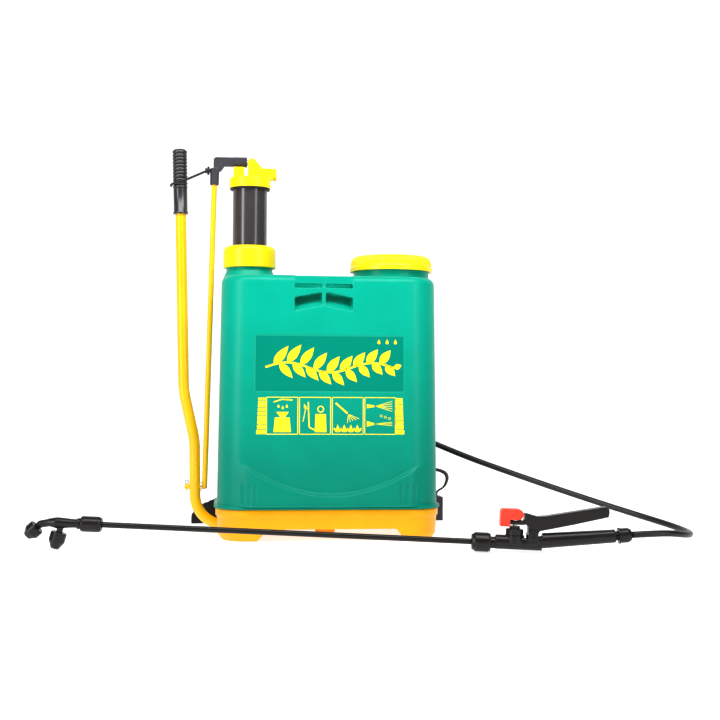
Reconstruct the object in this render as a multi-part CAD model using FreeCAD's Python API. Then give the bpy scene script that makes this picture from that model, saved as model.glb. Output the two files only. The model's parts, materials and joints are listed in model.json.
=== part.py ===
"""Hand-pumped backpack sprayer, standing on the floor with its lance laid in front of it.

Millimetres. +X is the filler side, -Y the face away from the wearer, +Z up.
The origin is on the floor, at the centre of the base.
"""
import FreeCAD, Part
import math
import os

V = FreeCAD.Vector

# ---- clearances and fits -------------------------------------------------------------
RUNNING_GAP = 0.05      # radial, a shaft or seal that turns or slides in its bore
SEATED_GAP = 0.3        # radial, pieces that screw or plug together
SOFT_GAP = 0.35         # rubber and fabric next to a neighbour

# ---- tank ----------------------------------------------------------------------------
TANK_WALL = 2.6
TANK_FLANGE_LOW = 46.0
TANK_FLANGE_HEIGHT = 4.0
TANK_FLANGE_PROUD = 4.5
TANK_LOW_WIDTH = 324.0
TANK_LOW_DEPTH = 178.0
TANK_WIDTH_TAPER = 9.0
TANK_DEPTH_TAPER = 10.0
TANK_TOP_WIDTH = TANK_LOW_WIDTH - TANK_WIDTH_TAPER
TANK_TOP_DEPTH = TANK_LOW_DEPTH - TANK_DEPTH_TAPER
TANK_SIDE = TANK_LOW_WIDTH / 2
TANK_BACK = TANK_LOW_DEPTH / 2
TANK_CORNER = 45.0
TANK_TOP = 384.0
TANK_SHOULDER = 11.0
BACK_HOLLOW_DEPTH = 12.0
BACK_HOLLOW_EDGE = 52.0     # from the tank's side to the hollow
BACK_HOLLOW_WIDTH = 2 * (TANK_SIDE - BACK_HOLLOW_EDGE)
BACK_HOLLOW_LOW = 62.0

# ---- carrying handle moulded into the tank's front top edge ---------------------------
HANDLE_MIDDLE = -10.3
HANDLE_WIDTH = 84.0
HANDLE_DEPTH = 40.0
HANDLE_LOW = TANK_TOP - 53.0
HANDLE_PEAK = 8.5
HANDLE_SCOOP_SLOPE = 0.75
HANDLE_BAR = 10.0
HANDLE_TOP_BAR = 11.5
HANDLE_MID_BAR_TOP = TANK_TOP - 19.0
HANDLE_MID_BAR_LOW = HANDLE_LOW + 20.0
HANDLE_RIB = 6.0
HANDLE_RIB_DEPTH = 22.0

# ---- base ----------------------------------------------------------------------------
BASE_HEIGHT = TANK_FLANGE_LOW
BASE_WIDTH = TANK_LOW_WIDTH + 1.0
BASE_DEPTH = TANK_LOW_DEPTH + 2.0
BASE_CORNER = TANK_CORNER + 1.0
BASE_TAPER = 2.0
BASE_BEVEL_HEIGHT = 8.0
BASE_BEVEL = 6.0
BASE_WALL = 3.0
BASE_BAND_LOW = 35.0
BASE_BAND_PROUD = 1.5
ARCH_LEFT = 72.0 - TANK_SIDE
ARCH_RIGHT = TANK_SIDE - 65.0
ARCH_HEIGHT = 17.0
ARCH_SLOPE = 14.0
CENTRE_FOOT_RADIUS = 15.0
SCREW_X = TANK_SIDE - 58.0
SCREW_Y = TANK_BACK - 37.0
SCREW_RADIUS = 2.4
SCREW_HEAD = 4.6
SCREW_LENGTH = 15.0
SCREW_BOSS = 7.0

# ---- pump ----------------------------------------------------------------------------
PUMP_X = 45.5 - TANK_SIDE
CHAMBER_RADIUS = 25.7
CHAMBER_WALL = 2.3
BARREL_BORE = CHAMBER_RADIUS + 2.3
BARREL_WALL = 2.4
PUMP_NECK_WALL = 3.6
PUMP_NECK_RADIUS = BARREL_BORE + BARREL_WALL + SEATED_GAP + PUMP_NECK_WALL
PUMP_NECK_TOP = TANK_TOP + 18.0
PUMP_FLARE_RADIUS = PUMP_NECK_RADIUS + 5.7
PUMP_FLARE_TOP = PUMP_NECK_TOP - 7.0
CHAMBER_TOP = PUMP_NECK_TOP + 128.0
CHAMBER_LENGTH = 218.0
CHAMBER_LOW = CHAMBER_TOP - CHAMBER_LENGTH
CHAMBER_FLOOR = 4.0
COLLAR_RADIUS = PUMP_NECK_RADIUS + 5.0
COLLAR_LOW = PUMP_NECK_TOP - 3.0
COLLAR_TOP = PUMP_NECK_TOP + 30.0
COLLAR_ROUND = 8.0
BARREL_LENGTH = 180.0
BARREL_LOW = PUMP_NECK_TOP - BARREL_LENGTH
BARREL_FLOOR = 4.0
BARREL_FLANGE = 3.0
WIPER_HEIGHT = 7.0
INLET_HOLE = 7.0
INLET_CAGE_RADIUS = 12.0
INLET_CAGE_HEIGHT = 20.0
INLET_BALL = 6.3
CAP_LOW = CHAMBER_TOP - 10.5
CAP_SKIRT_TOP = CHAMBER_TOP + 5.0
CAP_RADIUS = CHAMBER_RADIUS + 5.3
RING_HEIGHT = 2.0
SPOUT_Z = CAP_SKIRT_TOP + 6.7
SPOUT_LEFT = PUMP_X + 36.0
SPOUT_RADIUS = 9.5
PISTON_PLATE = 4.0
PISTON_STEM_RADIUS = 8.0
PISTON_STEM = 20.0
PISTON_BORE = 4.0
PISTON_CUP_HEIGHT = 8.0
PISTON_NUT_HEIGHT = 8.0
PISTON_NUT_RADIUS = 13.0
DISCHARGE_BALL = 5.0
RISER_RADIUS = 5.0
OUTLET_X = PUMP_X + 15.5
OUTLET_Z = CAP_SKIRT_TOP + 9.5
OUTLET_NUT_RADIUS = 9.0
OUTLET_NUT_START = 15.0
OUTLET_NUT_END = 34.0

# ---- lever ---------------------------------------------------------------------------
PIVOT_Z = 15.0
CRANK_Z = 72.0
LEVER_RADIUS = 8.0
LEVER_WALL = 1.5
LEVER_BEND = 45.0
LEVER_SWEEP = 120.0
LEVER_FOOT_X = -TANK_SIDE - 32.3
LEVER_KNEE = (LEVER_FOOT_X - 1.7, 140.0)
LEVER_ELBOW = (LEVER_FOOT_X - 18.7, 215.0)
LEVER_TOP = (LEVER_FOOT_X - 27.7, CHAMBER_TOP + 43.0)
GRIP_LENGTH = 97.0
GRIP_RADIUS = LEVER_RADIUS + 3.0
GRIP_CORE = LEVER_RADIUS + 1.5
GRIP_PLAIN = 38.0
GRIP_RIBS = 11
GRIP_END = 3.0
CRANK_TIP_X = LEVER_FOOT_X - LEVER_RADIUS - 8.2
CRANK_FACE_X = LEVER_FOOT_X + LEVER_RADIUS + 1.35
CRANK_WASHER = 1.4
CRANK_WASHER_RADIUS = 7.0
COTTER_RADIUS = 1.0
BUSH_RADIUS = LEVER_RADIUS + 3.0
WEB_OUTER_X = 16.0 - TANK_SIDE
WEB_INNER_X = 92.0 - TANK_SIDE
WEB_THICK = 8.0
WEB_HALF = 17.0
LEVER_END_X = WEB_INNER_X + 18.0
LEVER_WASHER_RADIUS = LEVER_RADIUS + 5.0
SPLIT_PIN_HALF = LEVER_RADIUS + 4.0
TIE_RADIUS = 1.8

# ---- pump linkage --------------------------------------------------------------------
JOURNAL_Z = CAP_SKIRT_TOP + 23.8
JOURNAL_LEFT = PUMP_X - 24.5
JOURNAL_RIGHT = PUMP_X - 4.9
JOURNAL_OUTER = 7.0
JOURNAL_PIN = 4.0
BRACKET_CORNER_X = PUMP_X - 55.0
BRACKET_ARM = 13.0
BRACKET_THICK = 10.0
SOCKET_LOW = JOURNAL_Z - 34.8
SOCKET_TOP = JOURNAL_Z - 10.8
SOCKET_RADIUS = 6.7
ROD_RADIUS = 4.0
ROD_TOP_X = BRACKET_CORNER_X + 1.9
ROD_FOOT_X = CRANK_FACE_X + 4.15
PEG_Z = JOURNAL_Z - 13.3
PEG_TIP_X = BRACKET_CORNER_X - 12.5
TIE_LOOP_Z = JOURNAL_Z - 36.8

# ---- filler --------------------------------------------------------------------------
FILLER_X = TANK_SIDE - 63.5
FILLER_NECK_RADIUS = 57.0
FILLER_NECK_WALL = 3.0
FILLER_NECK_TOP = TANK_TOP + 26.0
FILLER_CAP_RADIUS = FILLER_NECK_RADIUS + 5.5
FILLER_CAP_LOW = FILLER_NECK_TOP - 13.5
FILLER_CAP_TOP = FILLER_NECK_TOP + 9.5
FILLER_CAP_TOP_WALL = 3.0
FILLER_CAP_ROUND = 6.0
STRAINER_FLANGE = 1.6
STRAINER_RADIUS = FILLER_NECK_RADIUS - FILLER_NECK_WALL - 4.0
STRAINER_FOOT = STRAINER_RADIUS - 5.0
STRAINER_LOW = FILLER_NECK_TOP - 68.0
STRAINER_WALL = 1.6
GASKET_HEIGHT = 2.4
VENT_RADIUS = 14.0

# ---- lance, laid in front of the base: its own axis runs from nozzle to gun -----------
LANCE_GUN_END = V(182.2, -206.8, 14.6)
LANCE_NOZZLE_END = V(-315.9, -152.2, 34.2)
PIPE_RADIUS = 4.0
PIPE_WALL = 1.2
PIPE_LENGTH = 500.8
PIPE_ENGAGED = 14.0
FRONT_NUT_RADIUS = 13.0
FRONT_NUT_LENGTH = 25.3
GUN_NOSE_RADIUS = 8.0
GUN_NOSE_START = 17.5
GUN_FRONT = 32.3
GUN_BACK = 95.0
GUN_RADIUS = 9.8
GUN_LIFT = 1.4
GRIP_START = (88.0, 4.4)
GRIP_FINISH = (194.0, 16.1)
HANDLE_START_RADIUS = 10.6
HANDLE_END_RADIUS = 9.0
TAIL_RADIUS = 6.2
GUN_NUT_RADIUS = 11.0
GUN_NUT_LENGTH = 17.4
TURRET_X = 57.7
TURRET_RADIUS = 12.0
TURRET_TOP = 12.0
TURRET_CAP_TOP = 19.7
TURRET_RING_RADIUS = 7.2
TURRET_RING_TOP = 23.6
STEM_RADIUS = 2.5
STEM_HEAD = 4.5
TRIGGER_PIVOT = (82.0, 13.0)
TRIGGER_WIDTH = 16.0
TRIGGER_ARM_WIDTH = 11.0
TRIGGER_PIN = 2.0
EAR_THICK = 3.0
EAR_GAP = 0.5
LOCK_PIVOT = (61.0, 39.6)
LOCK_ROUND = 7.2
LOCK_LEG_LOW = 23.0
LOCK_PIN = 1.6
LOCK_ROOM_ABOVE = 5.2   # the upright on the trigger swings under this height when the lock is flipped
LOCK_LEFT_X = 37.3
LOCK_LEG_X = 50.3
LOCK_WALL = 8.0
NOZZLE_NUT_RADIUS = 10.7
NOZZLE_NUT_END = -528.8
NOZZLE_CAP_RADIUS = 11.0
NOZZLE_NECK_RADIUS = 4.3
NOZZLE_PLUG_RADIUS = 6.0
NOZZLE_PLUG_GAP = 5.0
NOZZLE_COLLAR_RADIUS = 7.5
NOZZLE_COLLAR_END = -534.0
NOZZLE_SWELL_RADIUS = 7.4
NOZZLE_SWELL_FROM = -557.0
NOZZLE_ARM_RADIUS = 5.2
NOZZLE_KNEE = V(-573.0, 0, -0.6)
NOZZLE_A_START = 4.5
NOZZLE_A_LENGTH = 19.0
NOZZLE_B_START = 10.0
NOZZLE_B_LENGTH = 22.5
NOZZLE_NECK_SHORT = 8.5
NOZZLE_B_FOOT = V(-555.5, 0, -3.0)
NOZZLE_B_WAY = V(-0.24, 0, -0.97)
NOZZLE_A_FOOT = V(-584.5, 0, -3.5)
NOZZLE_A_WAY = V(-0.72, 0, -0.69)

# ---- hose: control points of its route, from the pump outlet to the gun ---------------
HOSE_RADIUS = 4.5
HOSE_ROUTE = [
    (-101.0, 34.0, 544.5), (-101.0, 74.0, 544.5), (-103.5, 110.0, 511.0), (-105.0, 122.0, 448.0),
    (-98.0, 125.0, 372.0), (-70.0, 126.0, 300.0), (-15.0, 126.0, 235.0), (60.0, 125.0, 186.0),
    (134.0, 123.0, 153.0), (190.0, 108.0, 129.0), (243.0, 78.0, 107.0), (308.0, 39.0, 84.0),
    (371.0, -1.0, 62.5), (428.0, -41.0, 44.0), (474.0, -82.0, 30.0), (502.0, -129.0, 21.5),
    (504.0, -176.0, 18.5), (482.0, -216.0, 22.0), (444.34, -235.53, 28.02), (396.74, -230.32, 24.62),
]
HOSE_SPLIT_AFTER = 5    # the run after this point is shared: half drops with the pump, half lies still

# ---- straps --------------------------------------------------------------------------
STRAP_BAR_Z = TANK_TOP - 32.0
STRAP_BAR_Y = TANK_BACK + 10.0
STRAP_BAR_RADIUS = 3.0
STRAP_BAR_HALF = 66.0
STRAP_LUG = 8.0
PAD_WIDTH = 50.0
PAD_THICK = 8.0
PAD_Y = STRAP_BAR_Y
WEBBING_WIDTH = 26.0
WEBBING_THICK = 3.0
STRAP_SLOT_X = TANK_SIDE - 24.0
STRAP_SLOT_HALF = 13.5
STRAP_SLOT_LOW = 20.0
STRAP_SLOT_HEIGHT = 7.0

PARTS = {}


def keep(node, shape):
    """Store one finished piece under its node name."""
    PARTS[node] = shape


# ---- general shapes ------------------------------------------------------------------
def box(x0, x1, y0, y1, z0, z1):
    return Part.makeBox(x1 - x0, y1 - y0, z1 - z0, V(x0, y0, z0))


def rod(start, end, radius):
    axis = end - start
    return Part.makeCylinder(radius, axis.Length, start, axis)


def pipe(start, end, outer, inner):
    return rod(start, end, outer).cut(rod(start, end, inner))


def turned(profile, origin, axis):
    """Revolve (radius, height) points about an axis through origin."""
    axis = V(axis).normalize()
    side = V(0, 1, 0) if abs(axis.y) < 0.9 else V(1, 0, 0)
    side = side.sub(axis * side.dot(axis)).normalize()
    points = [origin + side * r + axis * h for r, h in profile]
    face = Part.Face(Part.makePolygon(points + points[:1]))
    return face.revolve(origin, axis, 360)


def prism_xz(points, y0, y1):
    """Extrude an outline given in X and Z from y0 to y1."""
    corners = [V(x, y0, z) for x, z in points]
    face = Part.Face(Part.makePolygon(corners + corners[:1]))
    return face.extrude(V(0, y1 - y0, 0))


def rounded_outline(width, depth, corner, z):
    """A rectangle with round corners, centred on the Z axis."""
    x, y, r = width / 2, depth / 2, corner
    q = r * (1 - math.sqrt(0.5))
    edges = [
        Part.LineSegment(V(-x + r, -y, z), V(x - r, -y, z)),
        Part.Arc(V(x - r, -y, z), V(x - q, -y + q, z), V(x, -y + r, z)),
        Part.LineSegment(V(x, -y + r, z), V(x, y - r, z)),
        Part.Arc(V(x, y - r, z), V(x - q, y - q, z), V(x - r, y, z)),
        Part.LineSegment(V(x - r, y, z), V(-x + r, y, z)),
        Part.Arc(V(-x + r, y, z), V(-x + q, y - q, z), V(-x, y - r, z)),
        Part.LineSegment(V(-x, y - r, z), V(-x, -y + r, z)),
        Part.Arc(V(-x, -y + r, z), V(-x + q, -y + q, z), V(-x + r, -y, z)),
    ]
    return Part.Wire([e.toShape() for e in edges])


def tapered(low, high):
    """Solid between two rounded outlines, each (width, depth, corner, z)."""
    return Part.makeLoft([rounded_outline(*low), rounded_outline(*high)], True, True)


def route_edges(points, radii):
    """Straight runs joined by tangent arcs, as a list of edges that starts and ends straight."""
    edges = []
    here = points[0]
    for i in range(1, len(points) - 1):
        into = (points[i] - points[i - 1]).normalize()
        away = (points[i + 1] - points[i]).normalize()
        turn = into.getAngle(away)
        setback = radii[i] * math.tan(turn / 2)
        begin = points[i] - into * setback
        finish = points[i] + away * setback
        bisector = (away - into).normalize()
        centre_reach = radii[i] / math.cos(turn / 2)
        middle = points[i] + bisector * (centre_reach - radii[i])
        edges.append(Part.LineSegment(here, begin).toShape())
        edges.append(Part.Arc(begin, middle, finish).toShape())
        here = finish
    edges.append(Part.LineSegment(here, points[-1]).toShape())
    return edges


def swept_round(edges, radius):
    path = Part.Wire(edges)
    first = path.OrderedEdges[0]
    start = first.valueAt(first.FirstParameter)
    along = first.tangentAt(first.FirstParameter)
    ring = Part.Wire([Part.Circle(start, along, radius).toShape()])
    return path.makePipeShell([ring], True, False)


def swept_strip(points, radii, plane_normal, thick_in_plane, across):
    """A flat strip swept along a route that lies in one plane."""
    path = Part.Wire(route_edges(points, radii))
    along = (points[1] - points[0]).normalize()
    normal = V(plane_normal).normalize()
    in_plane = along.cross(normal).normalize()
    a = in_plane * (thick_in_plane / 2)
    b = normal * (across / 2)
    corners = [points[0] + a + b, points[0] - a + b, points[0] - a - b, points[0] + a - b]
    profile = Part.makePolygon(corners + corners[:1])
    return path.makePipeShell([profile], True, False)


# ---- tank ----------------------------------------------------------------------------
def tank_front(z):
    """Y of the tank's front face at a height."""
    share = (z - TANK_FLANGE_LOW) / (TANK_TOP - TANK_FLANGE_LOW)
    return -(TANK_LOW_DEPTH + share * (TANK_TOP_DEPTH - TANK_LOW_DEPTH)) / 2


def tank_shell(inset):
    """The tank's outline, or its inside when inset is the wall."""
    low = (TANK_LOW_WIDTH - 2 * inset, TANK_LOW_DEPTH - 2 * inset, TANK_CORNER - inset,
           TANK_FLANGE_LOW + inset)
    high = (TANK_TOP_WIDTH - 2 * inset, TANK_TOP_DEPTH - 2 * inset, TANK_CORNER - inset,
            TANK_TOP - inset)
    solid = tapered(low, high)
    top_edges = [e for e in solid.Edges if e.BoundBox.ZMin > TANK_TOP - inset - 0.01]
    solid = solid.makeFillet(TANK_SHOULDER - inset, top_edges)
    back = TANK_LOW_DEPTH / 2
    half = BACK_HOLLOW_WIDTH / 2
    bow = (half ** 2 + BACK_HOLLOW_DEPTH ** 2) / (2 * BACK_HOLLOW_DEPTH)
    hollow = Part.makeCylinder(bow + inset, TANK_TOP, V(0, back - BACK_HOLLOW_DEPTH + bow,
                                                        BACK_HOLLOW_LOW - inset))
    return solid.cut(hollow)


def handle_pocket(grow):
    half = HANDLE_WIDTH / 2 + grow
    middle = HANDLE_MIDDLE
    outline = [(middle - half, HANDLE_LOW - grow), (middle, HANDLE_LOW + HANDLE_PEAK - grow),
               (middle + half, HANDLE_LOW - grow), (middle + half, TANK_TOP + 60),
               (middle - half, TANK_TOP + 60)]
    front = tank_front(HANDLE_LOW) - 20
    inward = 20 + HANDLE_DEPTH + grow
    corners = [V(x, front, z - 20 * HANDLE_SCOOP_SLOPE) for x, z in outline]
    face = Part.Face(Part.makePolygon(corners + corners[:1]))
    return face.extrude(V(0, inward, inward * HANDLE_SCOOP_SLOPE))


def handle_bars():
    half = HANDLE_WIDTH / 2 + 1
    left, right, middle = HANDLE_MIDDLE - half, HANDLE_MIDDLE + half, HANDLE_MIDDLE
    face = tank_front(TANK_TOP - TANK_SHOULDER)
    bar_top = TANK_TOP - 1.5
    top = box(left, right, face + 1.5, face + HANDLE_BAR + 2, bar_top - HANDLE_TOP_BAR, bar_top)
    bar = prism_xz([(left, HANDLE_MID_BAR_LOW), (middle, HANDLE_MID_BAR_LOW + HANDLE_PEAK),
                    (right, HANDLE_MID_BAR_LOW), (right, HANDLE_MID_BAR_TOP), (left, HANDLE_MID_BAR_TOP)],
                   face, face + HANDLE_BAR)
    rib = box(middle - HANDLE_RIB / 2, middle + HANDLE_RIB / 2, face + 0.5, face + HANDLE_RIB_DEPTH,
              HANDLE_LOW, TANK_TOP - 2)
    return top.fuse([bar, rib])


def make_tank():
    flange = tapered(
        (TANK_LOW_WIDTH + 2 * TANK_FLANGE_PROUD, TANK_LOW_DEPTH + 2 * TANK_FLANGE_PROUD,
         TANK_CORNER + TANK_FLANGE_PROUD, TANK_FLANGE_LOW),
        (TANK_LOW_WIDTH + 2 * TANK_FLANGE_PROUD, TANK_LOW_DEPTH + 2 * TANK_FLANGE_PROUD,
         TANK_CORNER + TANK_FLANGE_PROUD, TANK_FLANGE_LOW + TANK_FLANGE_HEIGHT))
    root = TANK_TOP - TANK_WALL
    filler_neck = rod(V(FILLER_X, 0, root), V(FILLER_X, 0, FILLER_NECK_TOP), FILLER_NECK_RADIUS)
    pump_neck = rod(V(PUMP_X, 0, root), V(PUMP_X, 0, PUMP_NECK_TOP), PUMP_NECK_RADIUS)
    flare = Part.makeCone(PUMP_FLARE_RADIUS, PUMP_NECK_RADIUS + 0.2, PUMP_FLARE_TOP - root,
                          V(PUMP_X, 0, root))
    lug_front = STRAP_BAR_Y - 29.0
    lugs = []
    for side in (-1, 1):
        outer = side * STRAP_BAR_HALF
        inner = side * (STRAP_BAR_HALF - STRAP_LUG)
        lugs.append(box(min(outer, inner), max(outer, inner), lug_front, STRAP_BAR_Y + 8,
                        STRAP_BAR_Z - 9, STRAP_BAR_Z + 9))
    body = tank_shell(0).fuse([flange, filler_neck, pump_neck, flare] + lugs)
    inside = tank_shell(TANK_WALL).cut(handle_pocket(TANK_WALL))
    body = body.cut(inside)
    body = body.cut(handle_pocket(0)).fuse(handle_bars())
    bore = FILLER_NECK_RADIUS - FILLER_NECK_WALL
    body = body.cut(rod(V(FILLER_X, 0, TANK_TOP - TANK_SHOULDER), V(FILLER_X, 0, FILLER_NECK_TOP + 1), bore))
    pump_bore = BARREL_BORE + BARREL_WALL + SEATED_GAP
    body = body.cut(rod(V(PUMP_X, 0, TANK_TOP - TANK_SHOULDER), V(PUMP_X, 0, PUMP_NECK_TOP + 1), pump_bore))
    bar_end = STRAP_BAR_HALF + 1
    bar = rod(V(-bar_end, STRAP_BAR_Y, STRAP_BAR_Z), V(bar_end, STRAP_BAR_Y, STRAP_BAR_Z),
              STRAP_BAR_RADIUS + RUNNING_GAP)
    body = body.cut(bar)
    for x, y in screw_places():
        boss = rod(V(x, y, TANK_FLANGE_LOW), V(x, y, TANK_FLANGE_LOW + SCREW_LENGTH), SCREW_BOSS)
        hole = rod(V(x, y, TANK_FLANGE_LOW - 1), V(x, y, TANK_FLANGE_LOW + SCREW_LENGTH - 2.5),
                   SCREW_RADIUS + RUNNING_GAP)
        body = body.fuse(boss).cut(hole)
    return body.removeSplitter()


# ---- base ----------------------------------------------------------------------------
def screw_places():
    return [(sx * SCREW_X, sy * SCREW_Y) for sx in (-1, 1) for sy in (-1, 1)]


def base_form(inset):
    """The base's skirt, or its inside when inset is the wall."""
    grow = -2 * inset
    top = (BASE_WIDTH + grow, BASE_DEPTH + grow, BASE_CORNER - inset, BASE_HEIGHT)
    low_width = BASE_WIDTH - 2 * BASE_TAPER
    low_depth = BASE_DEPTH - 2 * BASE_TAPER
    knee = (low_width + grow, low_depth + grow, BASE_CORNER - BASE_TAPER - inset, BASE_BEVEL_HEIGHT)
    foot = (low_width - 2 * BASE_BEVEL + grow, low_depth - 2 * BASE_BEVEL + grow,
            BASE_CORNER - BASE_TAPER - BASE_BEVEL - inset, 0)
    return tapered(knee, top).fuse(tapered(foot, knee))


def make_base():
    band_low = (BASE_WIDTH + 2 * BASE_BAND_PROUD, BASE_DEPTH + 2 * BASE_BAND_PROUD,
                BASE_CORNER + BASE_BAND_PROUD, BASE_BAND_LOW)
    band = tapered(band_low, band_low[:3] + (BASE_HEIGHT,))
    body = base_form(0).fuse(band)
    room = base_form(BASE_WALL).cut(box(-BASE_WIDTH, BASE_WIDTH, -BASE_DEPTH, BASE_DEPTH,
                                         BASE_HEIGHT - BASE_WALL, BASE_HEIGHT + 1))
    body = body.cut(room)
    arch = [(ARCH_LEFT - ARCH_SLOPE, -1), (ARCH_LEFT, ARCH_HEIGHT), (ARCH_RIGHT, ARCH_HEIGHT),
            (ARCH_RIGHT + ARCH_SLOPE, -1)]
    body = body.cut(prism_xz(arch, -BASE_DEPTH, -BASE_DEPTH / 2 + 20))
    body = body.cut(prism_xz(arch, BASE_DEPTH / 2 - 20, BASE_DEPTH))
    deck = BASE_HEIGHT - BASE_WALL
    webs = [box(x, x + WEB_THICK, -WEB_HALF, WEB_HALF, 1.5, deck) for x in (WEB_OUTER_X, WEB_INNER_X)]
    foot = rod(V(0, 0, 0), V(0, 0, deck), CENTRE_FOOT_RADIUS)
    body = body.fuse(webs + [foot])
    back = BASE_DEPTH / 2
    for side in (-1, 1):
        x = side * STRAP_SLOT_X
        body = body.cut(box(x - STRAP_SLOT_HALF, x + STRAP_SLOT_HALF, back - 25, back + 5, STRAP_SLOT_LOW,
                            STRAP_SLOT_LOW + STRAP_SLOT_HEIGHT))
    axis_from, axis_to = V(-BASE_WIDTH, 0, PIVOT_Z), V(LEVER_END_X, 0, PIVOT_Z)
    body = body.cut(rod(axis_from, V(WEB_OUTER_X - 1, 0, PIVOT_Z), LEVER_RADIUS + 3.6))
    body = body.cut(rod(V(WEB_OUTER_X - 1, 0, PIVOT_Z), axis_to, BUSH_RADIUS + RUNNING_GAP))
    for x, y in screw_places():
        body = body.cut(rod(V(x, y, deck - 1), V(x, y, BASE_HEIGHT + 1), SCREW_RADIUS + SEATED_GAP))
    return body.removeSplitter()


def make_screws():
    deck = BASE_HEIGHT - BASE_WALL
    screws = []
    for x, y in screw_places():
        shank = rod(V(x, y, deck), V(x, y, deck + SCREW_LENGTH), SCREW_RADIUS)
        head = rod(V(x, y, deck - 2.8), V(x, y, deck), SCREW_HEAD)
        slot = box(x - SCREW_HEAD, x + SCREW_HEAD, y - 0.5, y + 0.5, deck - 3, deck - 1.6)
        screws.append(shank.fuse(head).cut(slot))
    return Part.makeCompound(screws)


# ---- filler --------------------------------------------------------------------------
def make_filler():
    centre = V(FILLER_X, 0, 0)
    up = V(0, 0, 1)
    seat = FILLER_NECK_TOP
    rim = FILLER_NECK_RADIUS
    r, low, top, rnd = FILLER_CAP_RADIUS, FILLER_CAP_LOW, FILLER_CAP_TOP, FILLER_CAP_ROUND
    under = top - FILLER_CAP_TOP_WALL
    shell = rod(centre + up * low, centre + up * top, r)
    shell = shell.makeFillet(rnd, [e for e in shell.Edges if e.BoundBox.ZMin > top - 0.01])
    shell = shell.cut(rod(centre + up * (low - 1), centre + up * under, rim + 4 * SEATED_GAP))
    vent_hole = rod(centre + up * (under - 1), centre + up * (top + 1), 3.0)
    keep("filler_cap", shell.cut(vent_hole))
    strainer_top = seat + STRAINER_FLANGE
    keep("filler_gasket", turned([(STRAINER_RADIUS + 1, strainer_top + 0.05),
                                  (rim - 0.5, strainer_top + 0.05),
                                  (rim - 0.5, strainer_top + GASKET_HEIGHT),
                                  (STRAINER_RADIUS + 1, strainer_top + GASKET_HEIGHT)], centre, up))
    keep("vent_valve", turned([(0, under - 5), (VENT_RADIUS, under - 5), (VENT_RADIUS, under - 1.5),
                               (2.6, under - 1.5), (2.6, top - 0.8), (0, top - 0.8)], centre, up))
    w = STRAINER_WALL
    keep("filler_strainer", turned([
        (0, STRAINER_LOW), (STRAINER_FOOT, STRAINER_LOW), (STRAINER_RADIUS, seat),
        (rim - 0.5, seat), (rim - 0.5, strainer_top), (STRAINER_RADIUS - w, strainer_top),
        (STRAINER_FOOT - w, STRAINER_LOW + w), (0, STRAINER_LOW + w)], centre, up))


# ---- pump ----------------------------------------------------------------------------
def make_pump_fixed():
    c, up = V(PUMP_X, 0, 0), V(0, 0, 1)
    neck = PUMP_NECK_RADIUS + SEATED_GAP
    flange_top = PUMP_NECK_TOP + BARREL_FLANGE
    lip = CHAMBER_RADIUS + SOFT_GAP
    seat = CHAMBER_RADIUS + 5.5
    wiper_low = COLLAR_TOP - 4 - WIPER_HEIGHT
    body = rod(c + up * COLLAR_LOW, c + up * COLLAR_TOP, COLLAR_RADIUS)
    body = body.makeFillet(COLLAR_ROUND, [e for e in body.Edges if e.BoundBox.ZMin > COLLAR_TOP - 0.01])
    body = body.cut(rod(c + up * (COLLAR_LOW - 1), c + up * (flange_top + SEATED_GAP), neck))
    body = body.cut(rod(c + up * COLLAR_LOW, c + up * (COLLAR_TOP - 4), seat))
    keep("pump_collar", body.cut(rod(c, c + up * (COLLAR_TOP + 1), lip)))
    keep("collar_wiper", pipe(c + up * wiper_low, c + up * (COLLAR_TOP - 4.1), seat - 0.1,
                              CHAMBER_RADIUS + RUNNING_GAP))
    outer = BARREL_BORE + BARREL_WALL
    floor_top = BARREL_LOW + BARREL_FLOOR
    keep("pump_barrel", turned([
        (INLET_HOLE, BARREL_LOW), (outer, BARREL_LOW), (outer, PUMP_NECK_TOP),
        (PUMP_NECK_RADIUS - 0.5, PUMP_NECK_TOP), (PUMP_NECK_RADIUS - 0.5, flange_top),
        (BARREL_BORE, flange_top), (BARREL_BORE, floor_top), (INLET_HOLE, floor_top)], c, up))
    cage_low = BARREL_LOW - INLET_CAGE_HEIGHT
    seat_z = cage_low + 5
    cage = turned([(4.5, cage_low), (INLET_CAGE_RADIUS, cage_low), (INLET_CAGE_RADIUS, BARREL_LOW),
                   (INLET_BALL + 0.8, BARREL_LOW), (INLET_BALL + 0.8, seat_z), (4.5, seat_z)], c, up)
    keep("inlet_cage", cage)
    lift = math.sqrt(INLET_BALL ** 2 - 4.5 ** 2)
    keep("inlet_ball", Part.makeSphere(INLET_BALL, c + up * (seat_z + lift + 0.02)))


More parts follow.
